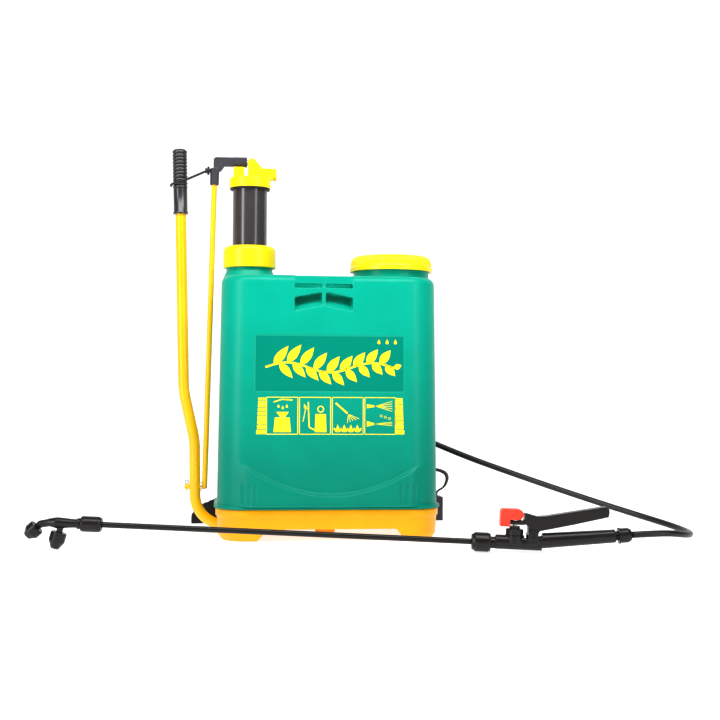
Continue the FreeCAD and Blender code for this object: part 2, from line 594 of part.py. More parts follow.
def make_plunger():
    c, up = V(PUMP_X, 0, 0), V(0, 0, 1)
    inner = CHAMBER_RADIUS - CHAMBER_WALL
    hole = DISCHARGE_BALL + 1
    floor_top = CHAMBER_LOW + CHAMBER_FLOOR
    keep("air_chamber", turned([
        (hole, CHAMBER_LOW), (CHAMBER_RADIUS, CHAMBER_LOW), (CHAMBER_RADIUS, CHAMBER_TOP),
        (inner, CHAMBER_TOP), (inner, floor_top), (hole, floor_top)], c, up))
    keep("chamber_ring", pipe(c + up * (CAP_LOW - RING_HEIGHT - 0.1), c + up * (CAP_LOW - 0.1),
                              CAP_RADIUS - 1.2, CHAMBER_RADIUS + RUNNING_GAP))
    make_chamber_cap(c, up)
    keep("riser_tube", pipe(c + up * (CHAMBER_LOW + 14), c + up * (CHAMBER_TOP + 0.3), RISER_RADIUS,
                            RISER_RADIUS - 1.5))
    plate_low = CHAMBER_LOW - PISTON_PLATE
    stem_low = CHAMBER_LOW - PISTON_STEM
    plate = BARREL_BORE - 2 * SEATED_GAP
    keep("piston_body", turned([
        (PISTON_BORE, stem_low), (PISTON_STEM_RADIUS, stem_low), (PISTON_STEM_RADIUS, plate_low),
        (plate, plate_low), (plate, CHAMBER_LOW), (PISTON_BORE, CHAMBER_LOW)], c, up))
    cup_low = plate_low - PISTON_CUP_HEIGHT
    keep("piston_cup", pipe(c + up * cup_low, c + up * plate_low, BARREL_BORE - RUNNING_GAP,
                            PISTON_STEM_RADIUS + RUNNING_GAP))
    nut = pipe(c + up * (cup_low - PISTON_NUT_HEIGHT), c + up * cup_low, PISTON_NUT_RADIUS,
               PISTON_STEM_RADIUS + RUNNING_GAP)
    keep("piston_nut", nut)
    lift = math.sqrt(DISCHARGE_BALL ** 2 - PISTON_BORE ** 2)
    keep("discharge_ball", Part.makeSphere(DISCHARGE_BALL, c + up * (CHAMBER_LOW + lift + 0.02)))


def make_chamber_cap(c, up):
    body = rod(c + up * CAP_LOW, c + up * CAP_SKIRT_TOP, CAP_RADIUS)
    body = body.makeFillet(2.0, [e for e in body.Edges if e.BoundBox.ZMin > CAP_SKIRT_TOP - 0.01])
    post_left = JOURNAL_RIGHT + 1.4
    peak = JOURNAL_Z + JOURNAL_PIN + 1.6
    root = SPOUT_LEFT - 2
    hump = prism_xz([(post_left, CAP_SKIRT_TOP - 1), (post_left, peak - 3), (post_left + 3, peak),
                     (post_left + 9, peak), (post_left + 22, SPOUT_Z + 8), (root, SPOUT_Z + 8),
                     (root, SPOUT_Z - 8), (root - 6, CAP_SKIRT_TOP - 1)], -9, 9)
    saddle_top = JOURNAL_Z - JOURNAL_OUTER - 0.5
    saddle = box(JOURNAL_LEFT - 0.5, JOURNAL_RIGHT - 4, -9, 9, CAP_SKIRT_TOP - 1, saddle_top)
    spout_end = rod(V(root - 2, 0, SPOUT_Z), V(SPOUT_LEFT, 0, SPOUT_Z), SPOUT_RADIUS - 0.8)
    spout_rim = rod(V(SPOUT_LEFT, 0, SPOUT_Z), V(SPOUT_LEFT + 3.5, 0, SPOUT_Z), SPOUT_RADIUS)
    outlet = rod(V(OUTLET_X, 0, OUTLET_Z), V(OUTLET_X, OUTLET_NUT_END - 8, OUTLET_Z), 6.0)
    body = body.fuse([hump, saddle, spout_end, spout_rim, outlet])
    body = body.cut(rod(c + up * (CAP_LOW - 1), c + up * (CHAMBER_TOP + 0.4), CHAMBER_RADIUS + SEATED_GAP))
    pin_end = V(post_left + 9, 0, JOURNAL_Z)
    body = body.cut(rod(V(JOURNAL_LEFT, 0, JOURNAL_Z), pin_end, JOURNAL_PIN))
    way_up = rod(c + up * CHAMBER_TOP, c + up * (CAP_SKIRT_TOP + 2), RISER_RADIUS - 1.5)
    way_out = rod(V(OUTLET_X, 0, OUTLET_Z), V(OUTLET_X, OUTLET_NUT_END, OUTLET_Z), 3.2)
    keep("chamber_cap", body.cut(way_up.fuse(way_out)).removeSplitter())
    keep("journal_pin", rod(V(JOURNAL_LEFT - 0.6, 0, JOURNAL_Z), pin_end, JOURNAL_PIN))
    nut = pipe(V(OUTLET_X, OUTLET_NUT_START, OUTLET_Z), V(OUTLET_X, OUTLET_NUT_END - 4, OUTLET_Z),
               OUTLET_NUT_RADIUS, 6.0 + SEATED_GAP)
    face = pipe(V(OUTLET_X, OUTLET_NUT_END - 4, OUTLET_Z), V(OUTLET_X, OUTLET_NUT_END, OUTLET_Z),
                OUTLET_NUT_RADIUS - 1.5, 3.2)
    keep("outlet_nut", nut.fuse(face))


# ---- linkage and lever ---------------------------------------------------------------
def rod_axis():
    """Top and foot of the connecting rod's centre line."""
    return V(ROD_TOP_X, 0, SOCKET_TOP - 4), V(ROD_FOOT_X, 0, CRANK_Z)


def make_link():
    sleeve = rod(V(JOURNAL_LEFT, 0, JOURNAL_Z), V(JOURNAL_RIGHT, 0, JOURNAL_Z), JOURNAL_OUTER)
    half = BRACKET_THICK / 2
    top = JOURNAL_Z + JOURNAL_OUTER
    block = box(JOURNAL_LEFT, JOURNAL_RIGHT, -JOURNAL_OUTER, JOURNAL_OUTER, JOURNAL_Z, top)
    low = top - BRACKET_ARM
    x0 = BRACKET_CORNER_X
    arm = prism_xz([(x0, SOCKET_TOP - 3), (x0, top - 3), (x0 + 3, top), (JOURNAL_LEFT + 1, top),
                    (JOURNAL_LEFT + 1, low), (x0 + 16.5, low), (x0 + 11, SOCKET_TOP - 3)], -half, half)
    upper, foot = rod_axis()
    lean = (foot - upper).normalize()
    socket_end = upper + lean * ((upper.z - SOCKET_LOW) / -lean.z)
    socket = rod(upper - lean * 5, socket_end, SOCKET_RADIUS)
    peg = rod(V(PEG_TIP_X, 0, PEG_Z), V(x0 + 2, 0, PEG_Z), 2.6)
    peg_head = rod(V(PEG_TIP_X, 0, PEG_Z), V(PEG_TIP_X + 2.5, 0, PEG_Z), 4.2)
    body = sleeve.fuse([block, arm, socket, peg, peg_head])
    body = body.cut(rod(V(JOURNAL_LEFT - 1, 0, JOURNAL_Z), V(JOURNAL_RIGHT + 1, 0, JOURNAL_Z),
                        JOURNAL_PIN + RUNNING_GAP))
    keep("link_bracket", body.cut(rod(upper, foot, ROD_RADIUS + RUNNING_GAP)).removeSplitter())
    shaft = rod(upper, foot, ROD_RADIUS)
    heel = Part.makeSphere(ROD_RADIUS, foot)
    toe = rod(foot, V(CRANK_FACE_X + SEATED_GAP, 0, CRANK_Z), ROD_RADIUS)
    keep("connecting_rod", shaft.fuse([heel, toe]).removeSplitter())


def lever_axis_x(z):
    """X of the lever's centre line between its foot bend and the grip."""
    marks = [(LEVER_FOOT_X, PIVOT_Z), LEVER_KNEE, LEVER_ELBOW, LEVER_TOP]
    for (xa, za), (xb, zb) in zip(marks, marks[1:]):
        if z <= zb:
            return xa + (xb - xa) * (z - za) / (zb - za)
    return LEVER_TOP[0]


def make_lever():
    corners = [V(LEVER_END_X, 0, PIVOT_Z), V(LEVER_FOOT_X, 0, PIVOT_Z)]
    corners += [V(x, 0, z) for x, z in (LEVER_KNEE, LEVER_ELBOW, LEVER_TOP)]
    edges = route_edges(corners, [0, LEVER_BEND, LEVER_SWEEP, LEVER_SWEEP, 0])
    tube = swept_round(edges, LEVER_RADIUS).cut(swept_round(edges, LEVER_RADIUS - LEVER_WALL))
    pin_bore = rod(V(CRANK_TIP_X - 5, 0, CRANK_Z), V(CRANK_FACE_X + 5, 0, CRANK_Z), ROD_RADIUS + RUNNING_GAP)
    split_x = WEB_INNER_X + WEB_THICK + 5.0
    split_bore = rod(V(split_x, -SPLIT_PIN_HALF, PIVOT_Z), V(split_x, SPLIT_PIN_HALF, PIVOT_Z),
                     1.5 + RUNNING_GAP)
    keep("pump_lever", tube.cut(pin_bore).cut(split_bore))
    washer_face = WEB_INNER_X + WEB_THICK + 0.6
    keep("lever_washer", pipe(V(washer_face, 0, PIVOT_Z), V(washer_face + 2, 0, PIVOT_Z),
                              LEVER_WASHER_RADIUS, LEVER_RADIUS + RUNNING_GAP))
    keep("lever_split_pin", rod(V(split_x, -SPLIT_PIN_HALF, PIVOT_Z),
                                 V(split_x, SPLIT_PIN_HALF, PIVOT_Z), 1.5))
    bushes = []
    for x in (WEB_OUTER_X, WEB_INNER_X):
        bushes.append(pipe(V(x, 0, PIVOT_Z), V(x + WEB_THICK, 0, PIVOT_Z), BUSH_RADIUS,
                           LEVER_RADIUS + RUNNING_GAP))
    keep("lever_bushes", Part.makeCompound(bushes))
    make_crank()
    make_lever_grip()


def make_crank():
    tip, face = V(CRANK_TIP_X, 0, CRANK_Z), V(CRANK_FACE_X, 0, CRANK_Z)
    cotter_x = CRANK_TIP_X + 3.2
    hole = rod(V(cotter_x, 0, CRANK_Z - 8), V(cotter_x, 0, CRANK_Z + 8), COTTER_RADIUS + RUNNING_GAP)
    pin = rod(tip, face, ROD_RADIUS).cut(hole)
    keep("crank_pin", pin)
    ring = pipe(V(CRANK_FACE_X - CRANK_WASHER, 0, CRANK_Z), V(CRANK_FACE_X - 0.05, 0, CRANK_Z),
                CRANK_WASHER_RADIUS, ROD_RADIUS + RUNNING_GAP)
    keep("crank_washer", ring)
    leg = rod(V(cotter_x, 0, CRANK_Z - 7), V(cotter_x, 0, CRANK_Z + 5.5), COTTER_RADIUS)
    eye = Part.makeTorus(2.4, COTTER_RADIUS, V(cotter_x, 0, CRANK_Z + 7.4), V(0, 1, 0))
    keep("crank_cotter", leg.fuse(eye))


def make_lever_grip():
    top = V(LEVER_TOP[0], 0, LEVER_TOP[1])
    elbow = V(LEVER_ELBOW[0], 0, LEVER_ELBOW[1])
    along = (top - elbow).normalize()
    start = top - along * (GRIP_LENGTH - GRIP_END)
    ribbed = GRIP_LENGTH - GRIP_PLAIN
    pitch = ribbed / GRIP_RIBS
    profile = [(LEVER_RADIUS + RUNNING_GAP, 0), (GRIP_RADIUS, 0), (GRIP_RADIUS, GRIP_PLAIN)]
    for i in range(GRIP_RIBS):
        low = GRIP_PLAIN + i * pitch
        profile += [(GRIP_CORE, low + 0.15 * pitch), (GRIP_CORE, low + 0.35 * pitch),
                    (GRIP_RADIUS, low + 0.5 * pitch), (GRIP_RADIUS, low + pitch)]
    profile[-1] = (GRIP_RADIUS - 1.5, GRIP_LENGTH)
    profile += [(0, GRIP_LENGTH), (0, GRIP_LENGTH - GRIP_END + 0.1),
                (LEVER_RADIUS + RUNNING_GAP, GRIP_LENGTH - GRIP_END + 0.1)]
    keep("lever_grip", turned(profile, start, along))


def make_tie():
    """Rubber tie: an eye round the bracket's peg and an open hook round the front of the grip."""
    grip_x = lever_axis_x(TIE_LOOP_Z)
    reach = GRIP_RADIUS + TIE_RADIUS + 0.9
    peg_ring = 2.6 + TIE_RADIUS + SOFT_GAP
    eye_x = PEG_TIP_X + 2.5 + TIE_RADIUS + 0.6
    eye = Part.makeTorus(peg_ring, TIE_RADIUS, V(eye_x, 0, PEG_Z), V(1, 0, 0))
    points = [V(eye_x, -peg_ring - 0.4, PEG_Z), V(grip_x + reach, -reach, TIE_LOOP_Z + 9),
              V(grip_x - reach, -reach, TIE_LOOP_Z), V(grip_x - reach, 4, TIE_LOOP_Z)]
    hook = swept_round(route_edges(points, [0, 9.0, reach - 1, 0]), TIE_RADIUS)
    keep("lever_tie", eye.fuse(hook))


# ---- lance and gun, in the lance's own frame: X from nozzle to gun, origin at the front nut ---
def lance_placement():
    along = (LANCE_GUN_END - LANCE_NOZZLE_END).normalize()
    side = V(0, 0, 1).cross(along).normalize()
    up = along.cross(side)
    return FreeCAD.Placement(LANCE_GUN_END, FreeCAD.Rotation(along, side, up, "XYZ"))


def to_world(point):
    return lance_placement().multVec(V(point))


def world_direction(vector):
    return lance_placement().Rotation.multVec(V(vector))


def keep_on_lance(node, shape):
    placed = shape.copy()
    placed.Placement = lance_placement().multiply(placed.Placement)
    keep(node, placed)


def grip_axis():
    start = V(GRIP_START[0], 0, GRIP_START[1])
    finish = V(GRIP_FINISH[0], 0, GRIP_FINISH[1])
    return start, finish, (finish - start).normalize()


def make_lance():
    keep_on_lance("lance_pipe", pipe(V(-PIPE_LENGTH - PIPE_ENGAGED, 0, 0), V(PIPE_ENGAGED, 0, 0),
                                     PIPE_RADIUS, PIPE_RADIUS - PIPE_WALL))
    x, r = V(1, 0, 0), FRONT_NUT_RADIUS
    nose = GUN_NOSE_RADIUS + SEATED_GAP
    keep_on_lance("front_nut", turned([
        (PIPE_RADIUS + SEATED_GAP, 0), (r - 1.5, 0), (r, 3), (r, FRONT_NUT_LENGTH), (nose, FRONT_NUT_LENGTH),
        (nose, PIPE_ENGAGED), (PIPE_RADIUS + SEATED_GAP, 6)], V(0, 0, 0), x))
    seal_x = GUN_NOSE_START - 1.4
    keep_on_lance("lance_seal", Part.makeTorus(PIPE_RADIUS + 1.6, 1.2, V(seal_x, 0, 0), x))
    r = NOZZLE_NUT_RADIUS
    nut_front = -PIPE_LENGTH
    pipe_end = nut_front - PIPE_ENGAGED
    pipe_bore = PIPE_RADIUS + SEATED_GAP
    plug_bore = NOZZLE_PLUG_RADIUS + SEATED_GAP
    keep_on_lance("nozzle_nut", turned([
        (pipe_bore, nut_front), (r - 1.5, nut_front), (r, nut_front - 4), (r, NOZZLE_NUT_END + 1),
        (r - 1, NOZZLE_NUT_END), (plug_bore, NOZZLE_NUT_END), (plug_bore, pipe_end),
        (pipe_bore, pipe_end + 5)], V(0, 0, 0), x))


def make_gun():
    start, finish, along = grip_axis()
    lift = V(0, 0, GUN_LIFT)
    nose = rod(V(GUN_NOSE_START, 0, 0), V(GUN_FRONT + 2, 0, 0), GUN_NOSE_RADIUS)
    barrel = rod(V(GUN_FRONT, 0, 0) + lift, V(GUN_BACK, 0, 0) + lift, GUN_RADIUS)
    turret = rod(V(TURRET_X, 0, 0), V(TURRET_X, 0, TURRET_TOP), TURRET_RADIUS)
    length = (finish - start).Length
    handle = Part.makeCone(HANDLE_START_RADIUS, HANDLE_END_RADIUS, length, start, along)
    tail = rod(finish - along * 2, finish + along * 12, TAIL_RADIUS)
    pivot = V(TRIGGER_PIVOT[0], 0, TRIGGER_PIVOT[1])
    inner = TRIGGER_WIDTH / 2 + EAR_GAP
    ears = []
    for side in (-1, 1):
        y0, y1 = sorted((side * inner, side * (inner + EAR_THICK)))
        ear = box(pivot.x - 7, pivot.x + 7, y0, y1, 0, pivot.z)
        ears.append(ear)
        ears.append(rod(V(pivot.x, y0, pivot.z), V(pivot.x, y1, pivot.z), 7).common(
            box(pivot.x - 7, pivot.x + 7, y0, y1, 0, pivot.z + 7)))
    body = nose.fuse([barrel, turret, handle, tail])
    body = body.cut(box(TURRET_X + TURRET_RADIUS + 1.2, pivot.x + 13, -inner, inner, 7.2, 60))
    body = body.fuse(ears)
    body = body.cut(rod(V(pivot.x, -20, pivot.z), V(pivot.x, 20, pivot.z), TRIGGER_PIN + RUNNING_GAP))
    body = body.cut(rod(V(GUN_NOSE_START - 1, 0, 0), V(TURRET_X - 4, 0, 0), 4.2))
    body = body.cut(rod(V(TURRET_X, 0, -3.5), V(TURRET_X, 0, TURRET_TOP + 1), 8.0))
    body = body.cut(rod(V(TURRET_X + 4, 0, -1), start, 2.8).fuse(rod(start, start + along * 14, 2.8)))
    bore_start = start + along * 14
    body = body.cut(rod(bore_start, finish + along * 13, 4.6))
    keep_on_lance("gun_body", body.removeSplitter())
    keep_on_lance("grip_filter", pipe(bore_start + along * 10, finish - along * 12, 4.3, 3.1))
    nut_low = finish + along * 4
    nut = turned([(TAIL_RADIUS + SEATED_GAP, 0), (GUN_NUT_RADIUS - 1, 0), (GUN_NUT_RADIUS, 1.5),
                  (GUN_NUT_RADIUS, GUN_NUT_LENGTH - 2), (GUN_NUT_RADIUS - 3, GUN_NUT_LENGTH),
                  (3.4, GUN_NUT_LENGTH), (3.4, 9.0), (TAIL_RADIUS + SEATED_GAP, 9.0)], nut_low, along)
    keep_on_lance("gun_hose_nut", nut)
    make_valve()
    make_trigger(pivot)


def hose_end():
    """Where the hose meets the gun's nut, in the row frame, and its direction outward."""
    start, finish, along = grip_axis()
    return to_world(finish + along * (4 + GUN_NUT_LENGTH)), world_direction(along)


def make_valve():
    x, up = TURRET_X, V(0, 0, 1)
    at = V(x, 0, 0)
    cap_low = TURRET_TOP + 0.1
    keep_on_lance("valve_cap", turned([
        (8.0, cap_low), (TURRET_RADIUS, cap_low), (TURRET_RADIUS, TURRET_CAP_TOP - 1),
        (TURRET_RADIUS - 1, TURRET_CAP_TOP), (TURRET_RING_RADIUS, TURRET_CAP_TOP),
        (TURRET_RING_RADIUS, TURRET_RING_TOP), (STEM_RADIUS + RUNNING_GAP, TURRET_RING_TOP),
        (STEM_RADIUS + RUNNING_GAP, TURRET_CAP_TOP - 2.5), (8.0, TURRET_CAP_TOP - 2.5)], at, up))
    head_low = 31.4
    keep_on_lance("valve_stem", turned([
        (0, -0.2), (6.2, -0.2), (6.2, 1.8), (STEM_RADIUS, 1.8), (STEM_RADIUS, head_low),
        (STEM_HEAD, head_low), (STEM_HEAD, head_low + 1.6), (0, head_low + 1.6)], at, up))
    keep_on_lance("valve_seal", rod(V(x, 0, -2.4), V(x, 0, -0.25), 6.6))
    wire = 0.6
    coil_radius = 4.9
    low, high = 1.8 + wire + 0.1, TURRET_CAP_TOP - 2.5 - wire - 0.1
    coil = Part.makeHelix((high - low) / 5, high - low, coil_radius)
    ring = Part.Wire([Part.Circle(V(coil_radius, 0, 0), V(0, 1, 0), wire).toShape()])
    spring = Part.Wire(coil.Edges).makePipeShell([ring], True, True)
    spring.translate(V(x, 0, low))
    keep_on_lance("valve_spring", spring)


def make_trigger(pivot):
    half, arm_half = TRIGGER_WIDTH / 2, TRIGGER_ARM_WIDTH / 2
    px, pz = pivot.x, pivot.z
    blade = prism_xz([(px - 12, 28), (px - 12, 41.8), (px + 6, 38), (px + 18, 39.3), (px + 96.6, 55.3),
                      (px + 101, 53.5), (px + 102, 48), (px + 101, 41.5), (px + 54, 29.2), (px + 9, 18.5),
                      (px + 6.5, pz), (px + 4, pz - 4.2), (px - 4, pz - 4.2), (px - 6.5, pz), (px - 7, 24)],
                     -half, half)
    arm = prism_xz([(TURRET_X - 11, 25.6), (TURRET_X - 11, 31), (px - 14, 31), (px - 10, 36), (px - 10, 27),
                    (px - 13, 25.6)], -arm_half, arm_half)
    lock_x, lock_z = LOCK_PIVOT
    upright_x = lock_x + LOCK_PIN
    upright_top = lock_z + LOCK_PIN
    upright = box(upright_x, upright_x + 3, -arm_half, arm_half, 30.5, upright_top)
    pin_boss = box(lock_x, upright_x + 3, -arm_half, arm_half, lock_z - 2 * LOCK_PIN, upright_top)
    lock_pin = rod(V(lock_x, -half, lock_z), V(lock_x, half, lock_z), LOCK_PIN)
    arm = arm.fuse([upright, pin_boss, lock_pin])
    slot_half = STEM_RADIUS + 0.6
    slot = box(TURRET_X - STEM_RADIUS - 4.4, TURRET_X + STEM_RADIUS + 1.0, -slot_half, slot_half, 20, 50)
    body = blade.fuse(arm).cut(slot)
    pocket = box(px - 13, px - 3.5, -half + 2.2, half - 2.2, 31, 45)
    body = body.cut(pocket.cut(box(px - 13, px - 10, -arm_half, arm_half, 20, 45)))
    body = body.cut(rod(V(px, -20, pz), V(px, 20, pz), TRIGGER_PIN + RUNNING_GAP))
    keep_on_lance("trigger", body.removeSplitter())
    outer = half + EAR_GAP + EAR_THICK
    keep_on_lance("trigger_pin", rod(V(px, -outer, pz), V(px, outer, pz), TRIGGER_PIN))
    lock_low, lock_top = lock_z - LOCK_ROUND, lock_z + LOCK_ROUND
    left = LOCK_LEFT_X
    outline = [(left, LOCK_LEG_LOW), (left, lock_top - 3), (left + 3, lock_top), (lock_x, lock_top),
               (lock_x, lock_low), (LOCK_LEG_X, lock_low), (LOCK_LEG_X, LOCK_LEG_LOW)]
    lock = prism_xz(outline, -half - 1, half + 1)
    lock = lock.fuse(rod(V(lock_x, -half - 1, lock_z), V(lock_x, half + 1, lock_z), LOCK_ROUND))
    room_left = left + LOCK_WALL
    room_top = lock_z + LOCK_ROOM_ABOVE
    room = prism_xz([(room_left, 20), (room_left, lock_z - 1.8), (lock_x - 4, lock_z - 1.8),
                     (lock_x - 3, room_top), (px, room_top), (px, 20)], -arm_half - 0.6, arm_half + 0.6)
    leg_room = box(room_left, LOCK_LEG_X + 1.7, -half + 1.0, half - 1.0, 20, lock_low)
    lock = lock.cut(room).cut(leg_room)
    bore_half = half + 0.2
    lock = lock.cut(rod(V(lock_x, -bore_half, lock_z), V(lock_x, bore_half, lock_z), LOCK_PIN + RUNNING_GAP))
    keep_on_lance("trigger_lock", lock.removeSplitter())


# ---- nozzle head ---------------------------------------------------------------------
def nozzle_cap(foot, way, start, length):
    """A spray cap: grip ring at its root, then a taper to the spray hole."""
    r = NOZZLE_CAP_RADIUS
    origin = foot + way * start
    return turned([
        (NOZZLE_NECK_RADIUS + SEATED_GAP, 0), (r - 1, 0), (r, 1.5), (r, 0.55 * length),
        (0.5 * r, length), (1.2, length), (1.2, length - 2), (NOZZLE_NECK_RADIUS + 1.6, length - 5),
        (NOZZLE_NECK_RADIUS + 1.6, 4), (NOZZLE_NECK_RADIUS + SEATED_GAP, 3)], origin, way)


def make_nozzles():
    plug, swell, knee = NOZZLE_PLUG_RADIUS, NOZZLE_SWELL_RADIUS, NOZZLE_KNEE
    plug_end = -PIPE_LENGTH - PIPE_ENGAGED - NOZZLE_PLUG_GAP
    body = turned([
        (0, plug_end), (plug, plug_end), (plug, NOZZLE_SWELL_FROM + 17), (swell, NOZZLE_SWELL_FROM),
        (swell, NOZZLE_SWELL_FROM - 6), (NOZZLE_ARM_RADIUS, knee.x), (0, knee.x)], V(0, 0, 0), V(1, 0, 0))
    tip_radius = NOZZLE_ARM_RADIUS - 0.2
    tip = NOZZLE_A_FOOT + V(NOZZLE_A_WAY).normalize() * (NOZZLE_A_START - SEATED_GAP - tip_radius)
    arm = Part.makeSphere(NOZZLE_ARM_RADIUS + 0.2, knee)
    arm = arm.fuse([rod(knee, tip, NOZZLE_ARM_RADIUS), Part.makeSphere(tip_radius, tip)])
    collar = rod(V(NOZZLE_COLLAR_END, 0, 0), V(NOZZLE_NUT_END - SEATED_GAP, 0, 0), NOZZLE_COLLAR_RADIUS)
    sprays = {"a": (NOZZLE_A_FOOT, V(NOZZLE_A_WAY).normalize(), NOZZLE_A_START, NOZZLE_A_LENGTH),
              "b": (NOZZLE_B_FOOT, V(NOZZLE_B_WAY).normalize(), NOZZLE_B_START, NOZZLE_B_LENGTH)}
    necks = []
    for foot, way, start, length in sprays.values():
        necks.append(rod(foot, foot + way * (start + length - NOZZLE_NECK_SHORT), NOZZLE_NECK_RADIUS))
    keep_on_lance("nozzle_body", body.fuse([arm, collar] + necks).removeSplitter())
    for letter, (foot, way, start, length) in sprays.items():
        keep_on_lance("nozzle_cap_" + letter, nozzle_cap(foot, way, start, length))
        at = foot + way * (start + length - 7.2)
        keep_on_lance("spray_disc_" + letter, pipe(at, at + way * 1.2, NOZZLE_NECK_RADIUS + 1.4, 0.8))


# ---- hose ----------------------------------------------------------------------------
def make_hose():
    points = [V(p) for p in HOSE_ROUTE]
    radii = [0.0]
    for i in range(1, len(points) - 1):
        into, away = points[i] - points[i - 1], points[i + 1] - points[i]
        shorter = min(into.Length, away.Length)
        radii.append(0.45 * shorter / math.tan(into.getAngle(away) / 2))
    print("hose runs", [round((b - a).Length) for a, b in zip(points, points[1:])])
    print("hose radii", [round(r) for r in radii[1:]])
    edges = route_edges(points, radii + [0.0])
    shared = 2 * HOSE_SPLIT_AFTER
    run = edges[shared]
    begin, finish = run.Vertexes[0].Point, run.Vertexes[1].Point
    middle = (begin + finish) * 0.5
    drop = edges[:shared] + [Part.LineSegment(begin, middle).toShape()]
    rest = [Part.LineSegment(middle, finish).toShape()] + edges[shared + 1:]
    for node, part in (("hose_drop", drop), ("hose_run", rest)):
        solid = swept_round(part, HOSE_RADIUS)
        length = sum(e.Length for e in part)
        print(node, "length", round(length, 1), "volume ratio",
              round(solid.Volume / (math.pi * HOSE_RADIUS ** 2 * length), 4))
        keep(node, solid)
    print("hose split", [round(v, 2) for v in middle])
    end, outward = hose_end()
    print("gun nut face", [round(v, 2) for v in end])
    print("48 mm further", [round(v, 2) for v in end + outward * 48])


# ---- straps --------------------------------------------------------------------------
def make_straps():
    bar_from = V(-STRAP_BAR_HALF, STRAP_BAR_Y, STRAP_BAR_Z)
    bar_to = V(STRAP_BAR_HALF, STRAP_BAR_Y, STRAP_BAR_Z)
    keep("strap_bar", rod(bar_from, bar_to, STRAP_BAR_RADIUS))
    below = STRAP_BAR_Z - STRAP_BAR_RADIUS - 8
    back = V(0, 1, 0)
    side, knee_z = TANK_SIDE, STRAP_BAR_Z - 67
    left = [V(-30, PAD_Y, below), V(-46, PAD_Y, knee_z), V(66 - side, PAD_Y, 180), V(36 - side, PAD_Y, 80)]
    ribbon = swept_strip(left, [0, 90, 120, 0], back, PAD_WIDTH, PAD_THICK)
    tongue_outline = [(61, 84), (12, 59), (-23, 42.5), (-37.5, 34.5), (-43.5, 26), (-45.5, 12), (-45.5, 1),
                      (50, 1)]
    half = PAD_THICK / 2
    tongue = prism_xz([(x - side, z) for x, z in tongue_outline], PAD_Y - half, PAD_Y + half)
    keep("left_strap_pad", ribbon.fuse(tongue).removeSplitter())
    right = [V(30, PAD_Y, below), V(46, PAD_Y, knee_z), V(side - 68, PAD_Y, 190), V(side - 36, PAD_Y, 112)]
    keep("right_strap_pad", swept_strip(right, [0, 90, 120, 0], back, PAD_WIDTH, PAD_THICK))
    loop_outline = [(-26, 96), (22, 91), (46, 84), (42, 62), (25, 54), (25, 47)]
    loop = [V(side + x, PAD_Y, z) for x, z in loop_outline]
    radii = [0, 20, 9, 8, 5, 0]
    keep("right_webbing", swept_strip(loop, radii, back, WEBBING_THICK, WEBBING_WIDTH))
    keep("left_webbing", box(-STRAP_SLOT_X - WEBBING_WIDTH / 2, -STRAP_SLOT_X + WEBBING_WIDTH / 2,
                             PAD_Y + 9, PAD_Y + 12, 4, 60))
    right_buckle = box(side + 20.5, side + 34, PAD_Y - 15, PAD_Y + 15, 9, 46.5)
    right_buckle = right_buckle.cut(box(side + 24, side + 30.5, PAD_Y - 11, PAD_Y + 11, 16, 24))
    right_buckle = right_buckle.cut(box(side + 24, side + 30.5, PAD_Y - 11, PAD_Y + 11, 31, 39))
    left_buckle = box(-STRAP_SLOT_X - 16, -STRAP_SLOT_X + 16, PAD_Y + 12.4, PAD_Y + 17, 14, 52)
    keep("strap_buckles", Part.makeCompound([right_buckle, left_buckle]))


def build():
    keep("tank", make_tank())
    keep("base", make_base())
    keep("base_screws", make_screws())
    make_filler()
    make_pump_fixed()
    make_plunger()
    make_link()
    make_lever()
    make_tie()
    make_lance()
    make_gun()
    make_nozzles()
    make_hose()
    make_straps()


build()
os.makedirs("parts", exist_ok=True)
for name, solid in PARTS.items():
    solid.exportStep("parts/" + name + ".step")
print(len(PARTS), "nodes written")
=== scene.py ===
import json
import math
import bmesh
import bpy
from mathutils import Matrix, Vector

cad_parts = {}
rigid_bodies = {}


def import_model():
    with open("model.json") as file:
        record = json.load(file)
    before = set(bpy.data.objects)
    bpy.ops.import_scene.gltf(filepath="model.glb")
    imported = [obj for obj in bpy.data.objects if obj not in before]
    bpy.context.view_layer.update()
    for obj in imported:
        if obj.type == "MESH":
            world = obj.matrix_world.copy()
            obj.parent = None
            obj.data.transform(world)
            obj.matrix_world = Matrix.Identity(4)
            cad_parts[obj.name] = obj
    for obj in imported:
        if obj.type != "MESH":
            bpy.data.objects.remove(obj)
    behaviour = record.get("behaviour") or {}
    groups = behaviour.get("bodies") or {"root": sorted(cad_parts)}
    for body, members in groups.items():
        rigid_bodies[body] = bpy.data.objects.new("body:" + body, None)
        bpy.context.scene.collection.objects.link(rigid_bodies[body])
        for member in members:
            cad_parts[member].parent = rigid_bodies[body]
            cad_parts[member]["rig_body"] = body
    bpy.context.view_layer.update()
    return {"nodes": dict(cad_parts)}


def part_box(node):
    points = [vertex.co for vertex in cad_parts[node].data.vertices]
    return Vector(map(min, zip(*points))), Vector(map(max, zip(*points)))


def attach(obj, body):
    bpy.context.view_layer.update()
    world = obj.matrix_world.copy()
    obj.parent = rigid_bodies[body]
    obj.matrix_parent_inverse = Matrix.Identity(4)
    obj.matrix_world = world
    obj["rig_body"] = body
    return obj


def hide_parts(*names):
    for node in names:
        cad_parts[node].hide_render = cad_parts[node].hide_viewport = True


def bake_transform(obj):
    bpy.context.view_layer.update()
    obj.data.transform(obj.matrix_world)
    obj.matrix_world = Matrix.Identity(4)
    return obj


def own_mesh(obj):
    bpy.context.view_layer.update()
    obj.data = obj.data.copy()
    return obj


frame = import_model()


